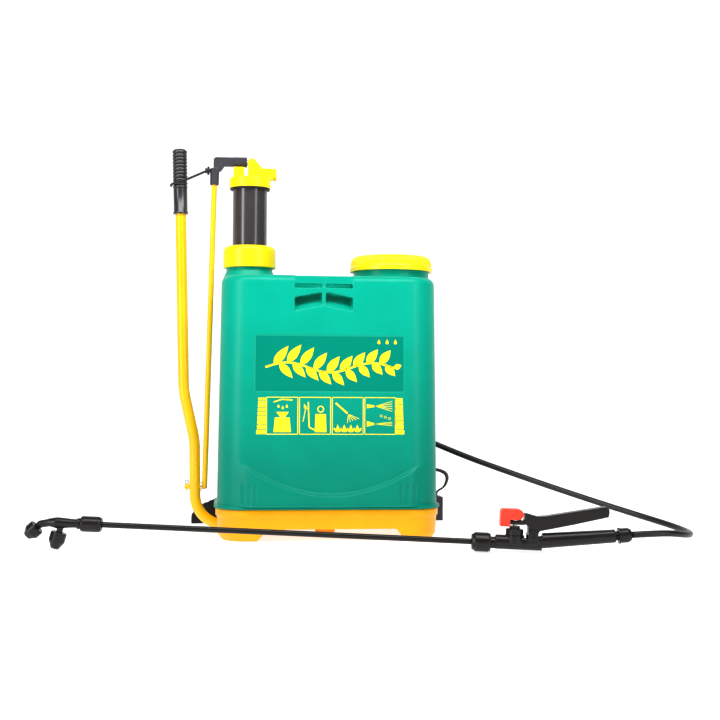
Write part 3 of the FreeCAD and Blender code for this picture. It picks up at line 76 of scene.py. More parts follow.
# ======== Studio: camera, floor and lamps ========
# A white table sweep with a soft box at each side of the camera and one overhead. The camera stands about
# 1.8 m off, a little left of the tank, as high as the middle of the tank.
EYE = Vector((-0.1449, -1.7819, 0.228))
HEADING = math.radians(6.3)
TILT_UP = math.radians(1.117)
ROLL = math.radians(0.35)

sight = Vector((math.sin(HEADING) * math.cos(TILT_UP), math.cos(HEADING) * math.cos(TILT_UP),
                math.sin(TILT_UP)))
side = sight.cross(Vector((0, 0, 1))).normalized()
upward = side.cross(sight)
side, upward = (side * math.cos(ROLL) + upward * math.sin(ROLL),
                upward * math.cos(ROLL) - side * math.sin(ROLL))
camera = bpy.data.objects.new("camera", bpy.data.cameras.new("camera"))
camera.data.lens = 59.0
camera.data.clip_end = 50.0
camera.matrix_world = Matrix.Translation(EYE) @ Matrix((side, upward, -sight)).transposed().to_4x4()
bpy.context.scene.collection.objects.link(camera)
bpy.context.scene.camera = camera
bpy.context.scene.view_settings.view_transform = "Standard"
bpy.context.scene.view_settings.look = "Medium High Contrast"


def mesh_object(name, mesh):
    """A new object in the scene that holds the mesh, or the lamp."""
    thing = bpy.data.objects.new(name, mesh)
    bpy.context.scene.collection.objects.link(thing)
    return thing


def soft_box(name, place, target, width, height, power):
    """A rectangular area light at a place, turned to a target."""
    lamp = bpy.data.lights.new(name, "AREA")
    lamp.shape = "RECTANGLE"
    lamp.size = width
    lamp.size_y = height
    lamp.energy = power
    holder = mesh_object(name, lamp)
    holder.location = place
    holder.rotation_euler = (Vector(target) - Vector(place)).to_track_quat("-Z", "Y").to_euler()


soft_box("left_soft_box", (-1.6, -1.3, 0.7), (-0.1, 0, 0.35), 0.45, 1.4, 15)
soft_box("right_soft_box", (1.3, -1.7, 0.7), (-0.1, 0, 0.35), 0.35, 1.4, 8)
soft_box("top_soft_box", (0.0, -0.62, 1.15), (0, 0, 0.3), 1.5, 0.45, 15)

world = bpy.data.worlds.new("studio")
bpy.context.scene.world = world
world.use_nodes = True
world.node_tree.nodes["Background"].inputs["Color"].default_value = (1.0, 1.0, 1.0, 1.0)
world.node_tree.nodes["Background"].inputs["Strength"].default_value = 0.14

SWEEP_HALF_WIDTH = 9.0
SWEEP_FRONT = -9.0
SWEEP_TURN = 2.6
SWEEP_RADIUS = 1.0
SWEEP_TOP = 6.0
profile = [(SWEEP_FRONT, 0.0), (-0.9, 0.0), (0.9, 0.0), (SWEEP_TURN, 0.0)]
for k in range(1, 9):
    turn = math.radians(90 * k / 8)
    profile.append((SWEEP_TURN + SWEEP_RADIUS * math.sin(turn), SWEEP_RADIUS * (1 - math.cos(turn))))
profile.append((SWEEP_TURN + SWEEP_RADIUS, SWEEP_TOP))
shape = bmesh.new()
rows = [[shape.verts.new((x, y, z - 0.0004)) for x in (-SWEEP_HALF_WIDTH, SWEEP_HALF_WIDTH)]
        for y, z in profile]
for near, far in zip(rows, rows[1:]):
    shape.faces.new((near[0], near[1], far[1], far[0]))
sweep_mesh = bpy.data.meshes.new("table_sweep")
shape.to_mesh(sweep_mesh)
shape.free()
sweep_mesh.polygons.foreach_set("use_smooth", [True] * len(sweep_mesh.polygons))
sweep = mesh_object("table_sweep", sweep_mesh)
paper = bpy.data.materials.new("white_paper")
paper.use_nodes = True
paper_shader = paper.node_tree.nodes["Principled BSDF"]
paper_shader.inputs["Base Color"].default_value = (0.7, 0.7, 0.7, 1.0)
paper_shader.inputs["Roughness"].default_value = 0.85
paper_shader.inputs["Emission Color"].default_value = (1.0, 1.0, 1.0, 1.0)
paper_shader.inputs["Emission Strength"].default_value = 0.6
sweep_mesh.materials.append(paper)


# ======== Hose ========
# One length of smooth black PVC hose, 9 mm outside. It leaves the elbow behind the air chamber, hangs
# down the wearer's side of the tank, comes out past its right side and down to the floor, and ends in
# the gun's ribbed nut.
HOSE_DIAMETER = 0.009
hose_route = [
    (-0.101, 0.034, 0.5445), (-0.101, 0.074, 0.5445), (-0.1035, 0.110, 0.511), (-0.105, 0.122, 0.448),
    (-0.098, 0.125, 0.372), (-0.070, 0.126, 0.300), (-0.015, 0.126, 0.235), (0.060, 0.125, 0.186),
    (0.134, 0.123, 0.153), (0.190, 0.108, 0.129), (0.243, 0.078, 0.107), (0.308, 0.039, 0.084),
    (0.371, -0.001, 0.0625), (0.428, -0.041, 0.044), (0.474, -0.082, 0.030), (0.502, -0.129, 0.0215),
    (0.504, -0.176, 0.0185), (0.482, -0.216, 0.022), (0.44434, -0.23553, 0.02802),
    (0.39674, -0.23032, 0.02462)]


def smooth_line(name, route, steps):
    """Points of the NURBS spline whose control points are the route."""
    curve = bpy.data.curves.new(name, "CURVE")
    curve.dimensions = "3D"
    spline = curve.splines.new("NURBS")
    spline.points.add(len(route) - 1)
    for point, place in zip(spline.points, route):
        point.co = (*place, 1.0)
    spline.order_u = 3
    spline.use_endpoint_u = True
    spline.resolution_u = steps
    guide = mesh_object(name, curve)
    bpy.context.view_layer.update()
    line = bpy.data.meshes.new_from_object(guide)
    points = [vertex.co.copy() for vertex in line.vertices]
    bpy.data.objects.remove(guide)
    bpy.data.meshes.remove(line)
    return points


def tube_mesh(name, points, radii, around=20):
    """A closed round tube along points, with one radius each."""
    shape = bmesh.new()
    tangents = []
    for i in range(len(points)):
        ahead, behind = points[min(i + 1, len(points) - 1)], points[max(i - 1, 0)]
        tangents.append((ahead - behind).normalized())
    across = tangents[0].orthogonal().normalized()
    rings = []
    for point, tangent, radius in zip(points, tangents, radii):
        across = (across - tangent * across.dot(tangent)).normalized()
        other = tangent.cross(across)
        ring = []
        for k in range(around):
            turn = math.tau * k / around
            ring.append(shape.verts.new(point + (across * math.cos(turn) + other * math.sin(turn)) * radius))
        rings.append(ring)
    for low, high in zip(rings, rings[1:]):
        for k in range(around):
            shape.faces.new((low[k], low[(k + 1) % around], high[(k + 1) % around], high[k]))
    shape.faces.new(list(reversed(rings[0])))
    shape.faces.new(rings[-1])
    bmesh.ops.recalc_face_normals(shape, faces=shape.faces)
    mesh = bpy.data.meshes.new(name)
    shape.to_mesh(mesh)
    shape.free()
    for face in mesh.polygons:
        face.use_smooth = len(face.vertices) == 4
    return mesh


SHEEN_LEVEL = 0.3


def moulded_finish(name, colour, roughness, mottle=0.06, grain=900.0, relief=0.05, **constants):
    """A shader for moulded or coated surfaces: faint mottling, a fine grain in gloss and relief."""
    material = bpy.data.materials.new(name)
    material.use_nodes = True
    tree = material.node_tree
    shader = tree.nodes["Principled BSDF"]
    place = tree.nodes.new("ShaderNodeTexCoord")
    broad = tree.nodes.new("ShaderNodeTexNoise")
    broad.inputs["Scale"].default_value = 22.0
    broad.inputs["Detail"].default_value = 4.0
    fine = tree.nodes.new("ShaderNodeTexNoise")
    fine.inputs["Scale"].default_value = grain
    fine.inputs["Detail"].default_value = 2.0
    tint = tree.nodes.new("ShaderNodeValToRGB")
    tint.color_ramp.elements[0].position = 0.3
    tint.color_ramp.elements[0].color = (*[c * (1.0 - mottle) for c in colour], 1.0)
    tint.color_ramp.elements[1].position = 0.7
    tint.color_ramp.elements[1].color = (*[min(1.0, c * (1.0 + mottle)) for c in colour], 1.0)
    gloss = tree.nodes.new("ShaderNodeMapRange")
    gloss.inputs["To Min"].default_value = roughness * 0.85
    gloss.inputs["To Max"].default_value = roughness * 1.2
    bump = tree.nodes.new("ShaderNodeBump")
    bump.inputs["Strength"].default_value = relief
    bump.inputs["Distance"].default_value = 0.0006
    tree.links.new(place.outputs["Object"], broad.inputs["Vector"])
    tree.links.new(place.outputs["Object"], fine.inputs["Vector"])
    tree.links.new(broad.outputs["Fac"], tint.inputs["Fac"])
    tree.links.new(tint.outputs["Color"], shader.inputs["Base Color"])
    tree.links.new(fine.outputs["Fac"], gloss.inputs["Value"])
    tree.links.new(gloss.outputs["Result"], shader.inputs["Roughness"])
    tree.links.new(fine.outputs["Fac"], bump.inputs["Height"])
    tree.links.new(bump.outputs["Normal"], shader.inputs["Normal"])
    shader.inputs["Specular IOR Level"].default_value = SHEEN_LEVEL
    for socket, value in constants.items():
        shader.inputs[socket.replace("_", " ")].default_value = value
    return material


hose_pvc = moulded_finish("hose_pvc", (0.016, 0.016, 0.017), 0.34, relief=0.03)
hose_line = smooth_line("hose_guide", hose_route, 8)
hose = mesh_object("spray_hose", tube_mesh("spray_hose", hose_line, [HOSE_DIAMETER / 2] * len(hose_line)))
hose.data.materials.append(hose_pvc)
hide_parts("hose_drop", "hose_run")
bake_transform(hose)


# ======== Tank ========
# One blow-moulded polyethylene shell with the filler neck, the pump mouth and the carrying handle in it.
# Every edge is softly rounded, the belly stands proud below a curved crease, and a label field is sunk
# in the front.
def moulded(name, node, pitch, passes, material, shaping=None):
    """The node's form as one moulded skin with its edges rounded, which takes the node's place."""
    source = frame["nodes"][node]
    skin = mesh_object(name, source.data.copy())
    weld = bmesh.new()
    weld.from_mesh(skin.data)
    bmesh.ops.remove_doubles(weld, verts=weld.verts, dist=1e-6)
    weld.to_mesh(skin.data)
    weld.free()
    remesh = skin.modifiers.new("remesh", "REMESH")
    remesh.mode = "VOXEL"
    remesh.voxel_size = pitch * 1.0
    smooth = skin.modifiers.new("smooth", "SMOOTH")
    smooth.factor = 0.5
    smooth.iterations = passes
    bpy.context.view_layer.update()
    final = bpy.data.meshes.new_from_object(skin.evaluated_get(bpy.context.evaluated_depsgraph_get()))
    skin.modifiers.clear()
    skin.data = final
    final.name = name
    final.materials.clear()
    final.materials.append(material)
    for face in final.polygons:
        face.use_smooth = True
    if shaping:
        for vertex in final.vertices:
            vertex.co = shaping(vertex.co)
    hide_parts(node)
    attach(skin, source["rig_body"])
    return skin


tank_green = moulded_finish("tank_green", (0.0, 0.335, 0.232), 0.34, mottle=0.04, grain=420.0, relief=0.07,
                            Specular_IOR_Level=0.16)
# Painted shade: the tank's green is multiplied by a height ramp. It is 0.66 at 9 cm and below, and full
# colour from 32 cm up, standing in for the lower tank getting less light.
SHADE_DARKEST_HEIGHT, SHADE_CLEAR_HEIGHT = 0.09, 0.32
green_nodes = tank_green.node_tree
tank_height_split = green_nodes.nodes.new("ShaderNodeSeparateXYZ")
painted_shade_ramp = green_nodes.nodes.new("ShaderNodeMapRange")
painted_shade_ramp.inputs["From Min"].default_value = SHADE_DARKEST_HEIGHT
painted_shade_ramp.inputs["From Max"].default_value = SHADE_CLEAR_HEIGHT
painted_shade_ramp.inputs["To Min"].default_value = 0.66
painted_shade_scale = green_nodes.nodes.new("ShaderNodeVectorMath")
painted_shade_scale.operation = "SCALE"
green_nodes.links.new(green_nodes.nodes["Texture Coordinate"].outputs["Object"], tank_height_split.inputs["Vector"])
green_nodes.links.new(tank_height_split.outputs["Z"], painted_shade_ramp.inputs["Value"])
green_nodes.links.new(green_nodes.nodes["Color Ramp"].outputs["Color"], painted_shade_scale.inputs[0])
green_nodes.links.new(painted_shade_ramp.outputs["Result"], painted_shade_scale.inputs["Scale"])
green_nodes.links.new(painted_shade_scale.outputs["Vector"], green_nodes.nodes["Principled BSDF"].inputs["Base Color"])
LABEL_LEFT, LABEL_RIGHT, LABEL_LOW, LABEL_TOP = -0.110, 0.108, 0.214, 0.297
LABEL_SINK = 0.0011
CREASE_WIDTH = 0.007
BELLY_PROUD = 0.0060
FLANGE_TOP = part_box("base")[1].z + 0.004
GROOVE_MIDDLES = (-0.126, -0.115, -0.107, 0.103, 0.112, 0.123)


def step(value, low, high):
    """0 below low, 1 above high, and a smooth rise between."""
    share = min(1.0, max(0.0, (value - low) / (high - low)))
    return share * share * (3.0 - 2.0 * share)


def window(value, low, high, edge):
    """One between low and high, and a soft fall to nothing over the edge inside each end."""
    return step(value, low, low + edge) * step(-value, -high, edge - high)


def tank_relief(place):
    """A point of the tank's front, moved for the label field, the belly and the grooves."""
    if place.y > -0.07 or not FLANGE_TOP < place.z < 0.372:
        return place
    sunk = window(place.x, LABEL_LEFT, LABEL_RIGHT, 0.0016) * window(place.z, LABEL_LOW, LABEL_TOP, 0.0016)
    crest = 0.063 + 0.049 * ((place.x - 0.003) / 0.136) ** 2
    fade = step(0.139 - abs(place.x - 0.001), 0.0, 0.03)
    belly = step(crest + CREASE_WIDTH - place.z, 0.0, CREASE_WIDTH) * fade
    grooves = 0.0
    for middle in GROOVE_MIDDLES:
        grooves += window(place.x, middle - 0.003, middle + 0.003, 0.0025)
    grooves *= window(place.z, FLANGE_TOP, 0.085, 0.006)
    out = BELLY_PROUD * belly - LABEL_SINK * sunk - 0.0013 * grooves
    return Vector((place.x, place.y - out, place.z))


tank = moulded("tank_shell", "tank", 0.00125, 2, tank_green, tank_relief)


# ======== Printed front ========
# Screen print on the front of the tank in one yellow, on a darker green film in the sunk field: a plain leaf
# spray, and below it four small framed drawings of use between two ladders of bars.
INK_THICK = 0.0002
LINE_WIDTH = 0.0011


def printed(name, outlines, material, proud=INK_THICK):
    """Thin flat patches on the front of the tank, from outlines in X and Z."""
    shape = bmesh.new()
    for outline in outlines:
        near, far = [], []
        for x, z in outline:
            place = tank.ray_cast(Vector((x, -0.3, z)), Vector((0, 1, 0)))[1]
            near.append(shape.verts.new((x, place.y - proud, z)))
            far.append(shape.verts.new((x, place.y + 0.0004, z)))
        shape.faces.new(near)
        shape.faces.new(list(reversed(far)))
        for k in range(len(near)):
            nxt = (k + 1) % len(near)
            shape.faces.new((near[k], far[k], far[nxt], near[nxt]))
    bmesh.ops.recalc_face_normals(shape, faces=shape.faces)
    mesh = bpy.data.meshes.new(name)
    shape.to_mesh(mesh)
    shape.free()
    mesh.materials.append(material)
    piece = mesh_object(name, mesh)
    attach(piece, "sprayer")
    return piece


def stroke(start, end, width=LINE_WIDTH):
    """A straight line with a width, as an outline."""
    a, b = Vector(start), Vector(end)
    out = (b - a).orthogonal().normalized() * width / 2
    return [tuple(a + out), tuple(b + out), tuple(b - out), tuple(a - out)]


def bow(points, width=LINE_WIDTH):
    """Strokes that join the points in turn."""
    return [stroke(a, b, width) for a, b in zip(points, points[1:])]


def ring(middle, radius, width=LINE_WIDTH, sides=20):
    """Strokes that make a closed circle."""
    turns = [math.tau * k / sides for k in range(sides + 1)]
    return bow([(middle[0] + radius * math.cos(t), middle[1] + radius * math.sin(t)) for t in turns], width)


def leaf(root, length, width, heading):
    """A pointed leaf from its root, heading in degrees from +X."""
    along = Vector((math.cos(math.radians(heading)), math.sin(math.radians(heading))))
    across = Vector((-along.y, along.x))
    edge = [(k / 10, math.sin(math.pi * (k / 10) ** 0.8)) for k in range(11)]
    upper = [Vector(root) + along * length * t + across * width / 2 * w for t, w in edge]
    lower = [Vector(root) + along * length * t - across * width / 2 * w for t, w in reversed(edge[1:-1])]
    return [tuple(p) for p in upper + lower]


def drop(tip, size):
    """A water drop that hangs from its tip."""
    points = [tip]
    for k in range(13):
        turn = math.radians(25 - 230 * k / 12)
        points.append((tip[0] + size * math.cos(turn), tip[1] - 2.2 * size + size * math.sin(turn)))
    return points


film_edge = 0.0022
film_green = moulded_finish("film_green", (0.0, 0.215, 0.150), 0.22, mottle=0.02, relief=0.02,
                            Specular_IOR_Level=0.16)
film_left, film_right = LABEL_LEFT + film_edge, LABEL_RIGHT - film_edge
film_low, film_top = LABEL_LOW + film_edge, LABEL_TOP - film_edge
film_corners = [(film_left, film_low), (film_right, film_low), (film_right, film_top), (film_left, film_top)]
printed("label_film", [film_corners], film_green, proud=0.0001)

ink_yellow = moulded_finish("ink_yellow", (0.93, 0.78, 0.02), 0.35, mottle=0.05, relief=0.04)
spray_left, spray_right, spray_height = -0.094, 0.092, 0.250


def stem_height(x):
    """The height of the leaf spray's stem, a flat wave along X."""
    return spray_height + 0.007 * math.sin((x - spray_left) / (spray_right - spray_left) * math.tau * 1.5)


stem = [spray_left + (spray_right - spray_left) * k / 40 for k in range(41)]
leaf_spray = bow([(x, stem_height(x)) for x in stem], 0.0028)
for k in range(9):
    x = spray_left + 0.012 + k * 0.0192
    size = 0.034 - 0.0011 * k
    leaf_spray.append(leaf((x, stem_height(x)), size, 0.0125, 52))
    leaf_spray.append(leaf((x + 0.008, stem_height(x + 0.008)), size * 0.85, 0.0115, -48))
leaf_spray.append(leaf((spray_right, stem_height(spray_right)), 0.012, 0.008, 20))
for k in range(3):
    leaf_spray.append(drop((0.070 + 0.012 * k, 0.2915), 0.0022))
printed("leaf_print", leaf_spray, ink_yellow)

DRAWING_LEFT, DRAWING_PITCH, DRAWING_WIDTH = -0.0919, 0.0472, 0.0448
DRAWING_LOW, DRAWING_TOP = 0.154, 0.207
drawings = []
for k in range(4):
    left = DRAWING_LEFT + k * DRAWING_PITCH
    right = left + DRAWING_WIDTH
    drawings += bow([(left, DRAWING_LOW), (right, DRAWING_LOW), (right, DRAWING_TOP), (left, DRAWING_TOP),
                     (left, DRAWING_LOW)])
for mirror, edge in ((1, -0.1065), (-1, 0.1075)):
    height = DRAWING_LOW
    for k in range(9):
        tall = 0.0072 - 0.00032 * k
        wide = 0.0128 - 0.00022 * k if k else 0.0138
        near, far = edge + mirror * (0.0138 - wide), edge + mirror * 0.0138
        bar_top = height + tall - 0.001
        drawings.append([(near, height), (far, height), (far, bar_top), (near, bar_top)])
        height += tall

# the first: water poured into the tank through a funnel
left = DRAWING_LEFT
drawings.append([(left + 0.010, 0.157), (left + 0.035, 0.157), (left + 0.033, 0.178), (left + 0.012, 0.178)])
drawings.append([(left + 0.019, 0.179), (left + 0.027, 0.179), (left + 0.032, 0.186), (left + 0.014, 0.186)])
drawings += [drop((left + 0.017 + 0.006 * k, 0.197 - 0.002 * (k % 2)), 0.0016) for k in range(3)]
drawings += bow([(left + 0.010, 0.200), (left + 0.022, 0.204), (left + 0.037, 0.203)], 0.0018)

# the second: a pump lever's stroke beside a tank
left += DRAWING_PITCH
drawings.append([(left + 0.022, 0.157), (left + 0.039, 0.157), (left + 0.038, 0.183), (left + 0.023, 0.183)])
drawings += bow([(left + 0.022, 0.160), (left + 0.014, 0.164), (left + 0.0125, 0.200)], 0.0018)
drawings += bow([(left + 0.005 + 0.001 * k, 0.172 + 0.005 * k) for k in range(5)])
drawings.append([(left + 0.0065, 0.198), (left + 0.0125, 0.190), (left + 0.0065, 0.191)])
drawings += ring((left + 0.0305, 0.190), 0.0042, 0.0016)

# the third: a lance that sprays a row of plants
left += DRAWING_PITCH
drawings += bow([(left + 0.005, 0.199), (left + 0.022, 0.184)], 0.0026)
for k in range(5):
    drawings.append(stroke((left + 0.0235, 0.183), (left + 0.022 + 0.0042 * k, 0.170 + 0.0016 * k), 0.0008))
for k in range(4):
    root = (left + 0.008 + 0.0095 * k, 0.157)
    drawings += [leaf(root, 0.011, 0.004, 90), leaf(root, 0.009, 0.0035, 45), leaf(root, 0.009, 0.0035, 135)]

# the fourth: two spray patterns
left += DRAWING_PITCH
drawings.append([(left + 0.003, 0.1915), (left + 0.014, 0.1935), (left + 0.014, 0.1955),
                 (left + 0.003, 0.1975)])
for k in range(5):
    drawings.append(stroke((left + 0.016, 0.1945), (left + 0.040, 0.1945 + 0.0036 * (k - 2)), 0.0008))
drawings.append([(left + 0.003, 0.165), (left + 0.014, 0.168), (left + 0.014, 0.170), (left + 0.003, 0.173)])
for k in range(3):
    drawings.append(stroke((left + 0.016, 0.169), (left + 0.040, 0.169 + 0.0026 * (k - 1)), 0.0008))
    drawings += ring((left + 0.024 + 0.006 * k, 0.1805 - 0.0018 * k), 0.0016, 0.0007, 10)
printed("use_drawings", drawings, ink_yellow)


# ======== Base ========
# A hollow skirt of warm yellow polypropylene that the tank is screwed on, arched at the front and the back,
# with a thicker band round its top edge. Injection moulded; the four steel screws go up into the tank.
base_yellow = moulded_finish("base_yellow", (0.88, 0.38, 0.0), 0.36, mottle=0.04, relief=0.05)
moulded("base_skirt", "base", 0.0014, 4, base_yellow)


def dress(material, *nodes):
    """Gives CAD pieces that keep their shape a finish."""
    for node in nodes:
        mesh = frame["nodes"][node].data
        mesh.materials.clear()
        mesh.materials.append(material)


bright_steel = moulded_finish("bright_steel", (0.62, 0.62, 0.60), 0.3, mottle=0.05, relief=0.04, Metallic=1.0)
dress(bright_steel, "base_screws", "strap_bar")


def turned_skin(name, node, axis_from, axis_to, profile, material,
                flutes=0, depth=0.0, fluted=(0.0, 0.0)):
    """A lathe form, fluted between two heights, which takes the place of a round node."""
    start, end = Vector(axis_from), Vector(axis_to)
    along = (end - start).normalized()
    across = along.orthogonal().normalized()
    other = along.cross(across)
    around = 6 * flutes if flutes else 96
    shape = bmesh.new()
    rings = []
    for radius, height in profile:
        ring_verts = []
        carve = depth * window(height, fluted[0], fluted[1], 0.0012) if flutes else 0.0
        for k in range(around):
            turn = math.tau * k / around
            valley = 0.5 - 0.5 * math.cos(turn * flutes) if flutes else 0.0
            reach = radius - carve * valley ** 3
            spoke = across * math.cos(turn) + other * math.sin(turn)
            ring_verts.append(shape.verts.new(start + along * height + spoke * reach))
        rings.append(ring_verts)
    for low, high in zip(rings, rings[1:] + rings[:1]):
        for k in range(around):
            shape.faces.new((low[k], low[(k + 1) % around], high[(k + 1) % around], high[k]))
    bmesh.ops.recalc_face_normals(shape, faces=shape.faces)
    mesh = bpy.data.meshes.new(name)
    shape.to_mesh(mesh)
    shape.free()
    for face in mesh.polygons:
        face.use_smooth = True
    mesh.materials.append(material)
    piece = mesh_object(name, mesh)
    edges = piece.modifiers.new("edges", "EDGE_SPLIT")
    edges.split_angle = math.radians(50)
    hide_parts(node)
    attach(piece, frame["nodes"][node]["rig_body"])
    return piece


def rounded_profile(points, radius, steps=5):
    """A closed (radius, height) profile with its corners rounded."""
    smoothed = []
    count = len(points)
    for i in range(count):
        before, here, after = (Vector(points[(i + d) % count]) for d in (-1, 0, 1))
        reach = min(radius, 0.45 * (before - here).length, 0.45 * (after - here).length)
        a = here + (before - here).normalized() * reach
        b = here + (after - here).normalized() * reach
        for k in range(steps + 1):
            t = k / steps
            smoothed.append(tuple((a * (1 - t) + here * t) * (1 - t) + (here * (1 - t) + b * t) * t))
    return smoothed


# ======== Pump ========
# A yellow collar screws the white barrel into the tank. The black air chamber slides through it and is the
# plunger, with piston and valve balls below and a yellow cap locked on top by a black ring.
cap_yellow = moulded_finish("cap_yellow", (0.86, 0.66, 0.008), 0.3, mottle=0.03, relief=0.05)
chamber_black = moulded_finish("chamber_black", (0.040, 0.036, 0.039), 0.2, mottle=0.1, relief=0.03,
                               Specular_IOR_Level=0.6)
natural_white = moulded_finish("natural_white", (0.78, 0.78, 0.74), 0.4, relief=0.05)
black_rubber = moulded_finish("black_rubber", (0.018, 0.018, 0.018), 0.55, relief=0.1)
moulded("collar_nut", "pump_collar", 0.0008, 4, cap_yellow)
moulded("pump_head_cap", "chamber_cap", 0.0006, 3, cap_yellow)
dress(chamber_black, "air_chamber", "riser_tube")
dress(black_rubber, "chamber_ring", "collar_wiper", "piston_cup")
dress(natural_white, "pump_barrel", "inlet_cage", "piston_body", "piston_nut")
dress(bright_steel, "inlet_ball", "discharge_ball", "journal_pin")


# ======== Lever linkage ========
# A powder-coated steel tube, bent under the base, with a ribbed rubber grip. A thin coated rod joins its
# crank pin to the moulded bracket on the pump head, and a rubber tie holds the grip to the bracket's peg.
lever_paint = moulded_finish("lever_paint", (0.90, 0.48, 0.002), 0.2, mottle=0.04, relief=0.03,
                             Specular_IOR_Level=0.5)
moulded_black = moulded_finish("moulded_black", (0.036, 0.034, 0.042), 0.42, mottle=0.12, relief=0.12)
moulded("head_bracket", "link_bracket", 0.0006, 3, moulded_black)
dress(lever_paint, "pump_lever", "connecting_rod", "crank_pin")
dress(black_rubber, "lever_tie")
GRIP_LENGTH = 0.097
GRIP_PLAIN = 0.038
GRIP_RINGS = 11
lever_top, lever_elbow = Vector((-0.222, 0, 0.573)), Vector((-0.213, 0, 0.215))
grip_along = (lever_top - lever_elbow).normalized()
grip_start = lever_top - grip_along * 0.094
grip_profile = [(0.0081, 0.0), (0.0108, 0.0), (0.0112, 0.0005), (0.0112, 0.0028), (0.0104, 0.0036),
                (0.0104, GRIP_PLAIN)]
ring_pitch = (GRIP_LENGTH - 0.0015 - GRIP_PLAIN) / GRIP_RINGS
for k in range(GRIP_RINGS * 8):
    swell = abs(math.sin(math.pi * k / 8)) ** 0.6
    grip_profile.append((0.0095 + 0.0016 * swell, GRIP_PLAIN + 0.0002 + ring_pitch * k / 8))
grip_profile += [(0.0095, GRIP_LENGTH - 0.0008), (0.0080, GRIP_LENGTH), (0.0004, GRIP_LENGTH),
                 (0.0004, 0.0942), (0.0081, 0.0942)]
grip_rubber = moulded_finish("grip_rubber", (0.024, 0.024, 0.028), 0.24, relief=0.04, Specular_IOR_Level=0.6)
turned_skin("rubber_grip", "lever_grip", grip_start, lever_top, grip_profile, grip_rubber)
dress(moulded_black, "lever_bushes", "outlet_nut")
dress(bright_steel, "crank_washer", "crank_cotter", "lever_washer", "lever_split_pin")


# ======== Filler ========
# A wide screw cap of the same lemon yellow with fine upright flutes, over a rubber gasket, a vent valve and a
# white strainer basket that hangs in the neck.
cap_low, cap_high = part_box("filler_cap")
cap_middle = (cap_low + cap_high) / 2
CAP_RADIUS = (cap_high.x - cap_low.x) / 2
CAP_HEIGHT = cap_high.z - cap_low.z
NECK_CLEAR = 0.0582
cap_outline = [(0.0031, CAP_HEIGHT - 0.003), (NECK_CLEAR, CAP_HEIGHT - 0.003), (NECK_CLEAR, 0.0),
               (CAP_RADIUS, 0.0), (CAP_RADIUS, 0.0062), (CAP_RADIUS - 0.0010, 0.0074),
               (CAP_RADIUS - 0.0010, 0.0105), (CAP_RADIUS - 0.0013, 0.0135), (CAP_RADIUS - 0.0020, 0.0165),
               (CAP_RADIUS - 0.0042, CAP_HEIGHT - 0.0028), (CAP_RADIUS - 0.0085, CAP_HEIGHT - 0.0003),
               (CAP_RADIUS - 0.0125, CAP_HEIGHT), (0.0031, CAP_HEIGHT)]
cap_profile = [cap_outline[0]]
for low_point, high_point in zip(cap_outline, cap_outline[1:]):
    gap = (Vector(high_point) - Vector(low_point)).length
    pieces = max(1, round(gap / 0.0011)) if low_point[0] > NECK_CLEAR + 0.001 or high_point[1] > 0.018 else 1
    pieces = min(pieces, 8)
    for k in range(1, pieces + 1):
        cap_profile.append(tuple(Vector(low_point).lerp(Vector(high_point), k / pieces)))
turned_skin("filler_lid", "filler_cap", (cap_middle.x, cap_middle.y, cap_low.z),
            (cap_middle.x, cap_middle.y, cap_high.z), cap_profile, cap_yellow,
            flutes=72, depth=0.0011, fluted=(0.0078, CAP_HEIGHT - 0.0004))
dress(black_rubber, "filler_gasket")
dress(natural_white, "filler_strainer", "vent_valve")


# ======== Gun, lance and nozzles ========
# Black nylon mouldings on a plain black tube: a hollow handle with the valve turret, the long trigger
# with its red lock, fluted hand nuts and the twin nozzle with two spray caps.
gun_black = moulded_finish("gun_black", (0.012, 0.0105, 0.010), 0.3, mottle=0.15, relief=0.08)
lock_red = moulded_finish("lock_red", (0.90, 0.048, 0.025), 0.3, mottle=0.04, relief=0.03)
lance_end, nozzle_end = Vector((0.1822, -0.2068, 0.0146)), Vector((-0.3159, -0.1522, 0.0342))
lance_along = (lance_end - nozzle_end).normalized()
lance_side = Vector((0, 0, 1)).cross(lance_along).normalized()
lance_up = lance_along.cross(lance_side)


def on_lance(x, z):
    """A place in the lance's own frame: x from the nozzle to the gun, z upward."""
    return lance_end + lance_along * x + lance_up * z


front_profile = rounded_profile([(0.0043, 0.0), (0.0100, 0.0), (0.0120, 0.004), (0.0131, 0.0045),
                                 (0.0131, 0.0225),
                                 (0.0122, 0.0240), (0.0122, 0.0253), (0.0084, 0.0253), (0.0084, 0.0140),
                                 (0.0043, 0.0060)], 0.0007)
turned_skin("front_hand_nut", "front_nut", lance_end, on_lance(0.0253, 0), front_profile, gun_black,
            flutes=16, depth=0.0013, fluted=(0.0050, 0.0222))
nozzle_profile = rounded_profile([(0.0044, 0.0), (0.0088, 0.0), (0.0104, 0.0035), (0.0107, 0.0040),
                                  (0.0107, 0.0255),
                                  (0.0098, 0.0280), (0.0064, 0.0280), (0.0064, 0.0140),
                                  (0.0044, 0.0090)], 0.0007)
turned_skin("nozzle_hand_nut", "nozzle_nut", on_lance(-0.5008, 0), on_lance(-0.5288, 0), nozzle_profile,
            gun_black, flutes=14, depth=0.0011, fluted=(0.0045, 0.0245))
handle_from, handle_to = on_lance(0.088, 0.0044), on_lance(0.194, 0.0161)
handle_along = (handle_to - handle_from).normalized()
hose_nut_from = handle_to + handle_along * 0.004
hose_profile = rounded_profile([(0.0066, 0.0), (0.0110, 0.0), (0.0110, 0.0026), (0.0096, 0.0032),
                                (0.0100, 0.0040),
                                (0.0100, 0.0130), (0.0090, 0.0150), (0.0078, 0.0174), (0.0047, 0.0174),
                                (0.0047, 0.0090), (0.0066, 0.0090)], 0.0005)
